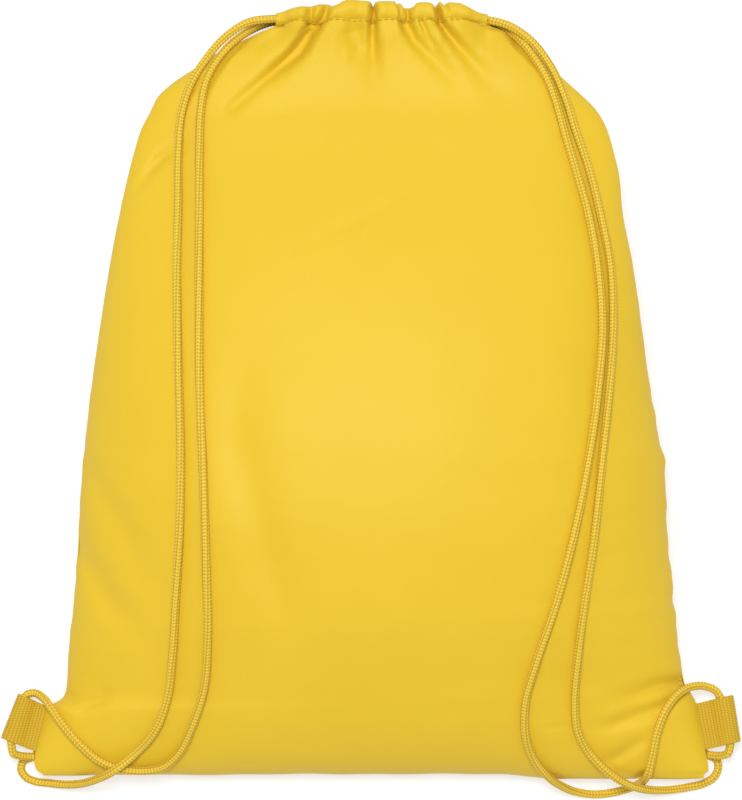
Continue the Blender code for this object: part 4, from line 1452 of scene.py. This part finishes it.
@dataclass
class Cord:
    """One knitted cord with the knot that joins its two ends.

    lean, bend_start and bend_end are not used.
    """

    hand: Hand
    routes: CordRoutes
    finishes: Finishes
    lean: tuple[float, float, float] = (0.81, 0.05, 0.584)
    bend_start: float = 2.0
    bend_end: float = 5.6
    twist: float = 420.0
    knot_twist: float = 60.0
    wales: int = 4
    around: int = 24
    stitch_pitch: float = 1.7
    relief_depth: float = 0.32

    def knit(self, path: np.ndarray, turn: float) -> tuple[np.ndarray, np.ndarray]:
        """Surface of a knitted cord along a path.

        Wales run along the cord. In each, the yarn's height is a cosine of the run
        along the cord, put forward by the distance from the wale's middle, which
        draws a row of V stitches, and it drops off at the wale's two sides.

        Args:
            path: (N, 3) places of the cord's middle.
            turn: length in which the wales turn once about the cord.

        Returns:
            Places (N, around, 3), and relief (N, around) from 0 to 1.
        """
        _, first, second = carried_frames(path)
        run = np.linspace(0, path_length(path), len(path))[:, None]
        angle = ring_angles(self.around)[None]
        local = (angle * self.wales / (2 * math.pi)) % 1.0 * 2 - 1
        vee = ripple(run / self.stitch_pitch - 0.55 * np.abs(local))
        groove = 1 - np.abs(local) ** 5
        middle = 1 - 0.45 * np.exp(-(local / 0.2) ** 2)
        # relief shapes the yarn and also sets its painted shade in grooves and painted highlight
        # on stitches
        relief = (0.25 + 0.75 * vee) * groove * middle
        radius = self.routes.diameter / 2 + self.relief_depth * (relief - 0.62)
        theta = angle + 2 * math.pi * run / turn
        places = (path[:, None] + first[:, None] * (radius * np.cos(theta))[..., None]
                  + second[:, None] * (radius * np.sin(theta))[..., None])
        return places, relief

    def build(self) -> None:
        """Make the cord, its knot and its two cut ends."""
        name = self.hand.value
        path = self.routes.path(self.hand)
        places, relief = self.knit(path, self.twist)
        cord = surface_object(f"{name}_drawcord", places, ring=True, caps=True, relief=relief)
        dress(cord, self.finishes.cord, "cord", f"{name}_cord", f"{name}_cord_in_loop",
              f"{name}_cord_tail")
        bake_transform(cord)
        knot = self.make_knot()
        line = self.routes.path(self.hand, 3.0) * MM
        LOG.info("%s cord, %.0f mm", name, path_length(path))

    def make_knot(self) -> bpy.types.Object:
        """Tight knot: a cord along a trefoil, and the two cut ends beside it.

        Returns:
            The knot as one object, replacing its CAD node.
        """
        t = np.linspace(0, 2 * math.pi, 130)[:-1]
        trefoil = np.stack((np.sin(t) + 2 * np.sin(2 * t), np.cos(t) - 2 * np.cos(2 * t),
                            -1.25 * np.sin(3 * t)), axis=-1) * 1.17
        centre = np.array(KNOTS[self.hand])
        loops = [np.vstack((trefoil, trefoil[:1])) + centre]
        sign = self.hand.sign
        for lift in (-1.4, 1.6):
            tail = np.array(((0.0, 0.0, 0.0), (-2.4 * sign, 1.5, 0.2), (-5.4 * sign, 2.6, 0.5)))
            loops.append(centre + (0.0, 0.0, lift) + tail)
        pieces = []
        for k, line in enumerate(loops):
            places, relief = self.knit(smooth_path(line, self.routes.step), self.knot_twist)
            pieces.append(surface_object(f"{self.hand.value}_knot_part_{k}", places,
                                         ring=True, caps=True, relief=relief))
        knot = joined(f"{self.hand.value}_tied_knot", pieces)
        dress(knot, self.finishes.cord, "cord", f"{self.hand.value}_knot")
        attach(knot, "bag")
        return knot


# ---------------------------------------------------------------- studio


@dataclass
class Studio:
    """White floor, one soft light high up and a little past the mouth, and a camera.

    The camera's sizes are in millimetres, and the stage's and the light's in metres.
    """

    centre: tuple[float, float] = (-0.24, -5.4)
    frame_height: float = 390.2
    lens: float = 400.0
    focus_height: float = 26.0
    farthest_view: float = 20.0
    floor_reach: float = 3.0
    sky: float = 0.55
    key_watts: float = 165.0
    key_side: float = 1.2
    key_place: tuple[float, float, float] = (-0.2, 0.75, 4.6)
    key_aim: tuple[float, float, float] = (0.0, 0.0, 0.05)

    def build_camera(self) -> None:
        """Camera straight above, far away so that it hardly converges."""
        data = bpy.data.cameras.new("overhead camera")
        data.lens = self.lens
        data.clip_end = self.farthest_view
        camera = new_object("overhead camera", data)
        away = self.lens / data.sensor_width * self.frame_height + self.focus_height
        camera.location = (self.centre[0] * MM, self.centre[1] * MM, away * MM)
        bpy.context.scene.camera = camera

    def build_stage(self) -> None:
        """Floor, sky and key light, with the colours shown as they are."""
        mesh = bpy.data.meshes.new("paper_floor")
        reach = self.floor_reach
        mesh.from_pydata([(-reach, -reach, 0), (reach, -reach, 0), (reach, reach, 0),
                          (-reach, reach, 0)], [], [(0, 1, 2, 3)])
        mesh.materials.append(PaperSweep().build())
        new_object("paper_floor", mesh)
        world = bpy.data.worlds.new("soft white sky")
        world.use_nodes = True
        background = world.node_tree.nodes["Background"]
        background.inputs["Color"].default_value = linear(WHITE)
        background.inputs["Strength"].default_value = self.sky
        bpy.context.scene.world = world
        data = bpy.data.lights.new("key softbox", "AREA")
        data.energy = self.key_watts
        data.size = self.key_side
        key = new_object("key softbox", data)
        key.location = self.key_place
        aim = Vector(self.key_aim) - key.location
        key.rotation_euler = aim.to_track_quat("-Z", "Y").to_euler()
        bpy.context.scene.view_settings.view_transform = "Standard"


def main() -> None:
    """Build the studio and every piece of the bag."""
    logging.basicConfig(level=logging.INFO, format="%(name)s: %(message)s")
    studio = Studio()
    studio.build_camera()
    finishes = Finishes()
    routes = CordRoutes()
    for hand in Hand:
        Cord(hand, routes, finishes).build()
    for hand in Hand:
        Webbing(hand, LOOP_LIES[hand], finishes).build()
    Panels(BagShape(), routes, finishes).build()
    studio.build_stage()


if __name__ == "__main__":
    main()
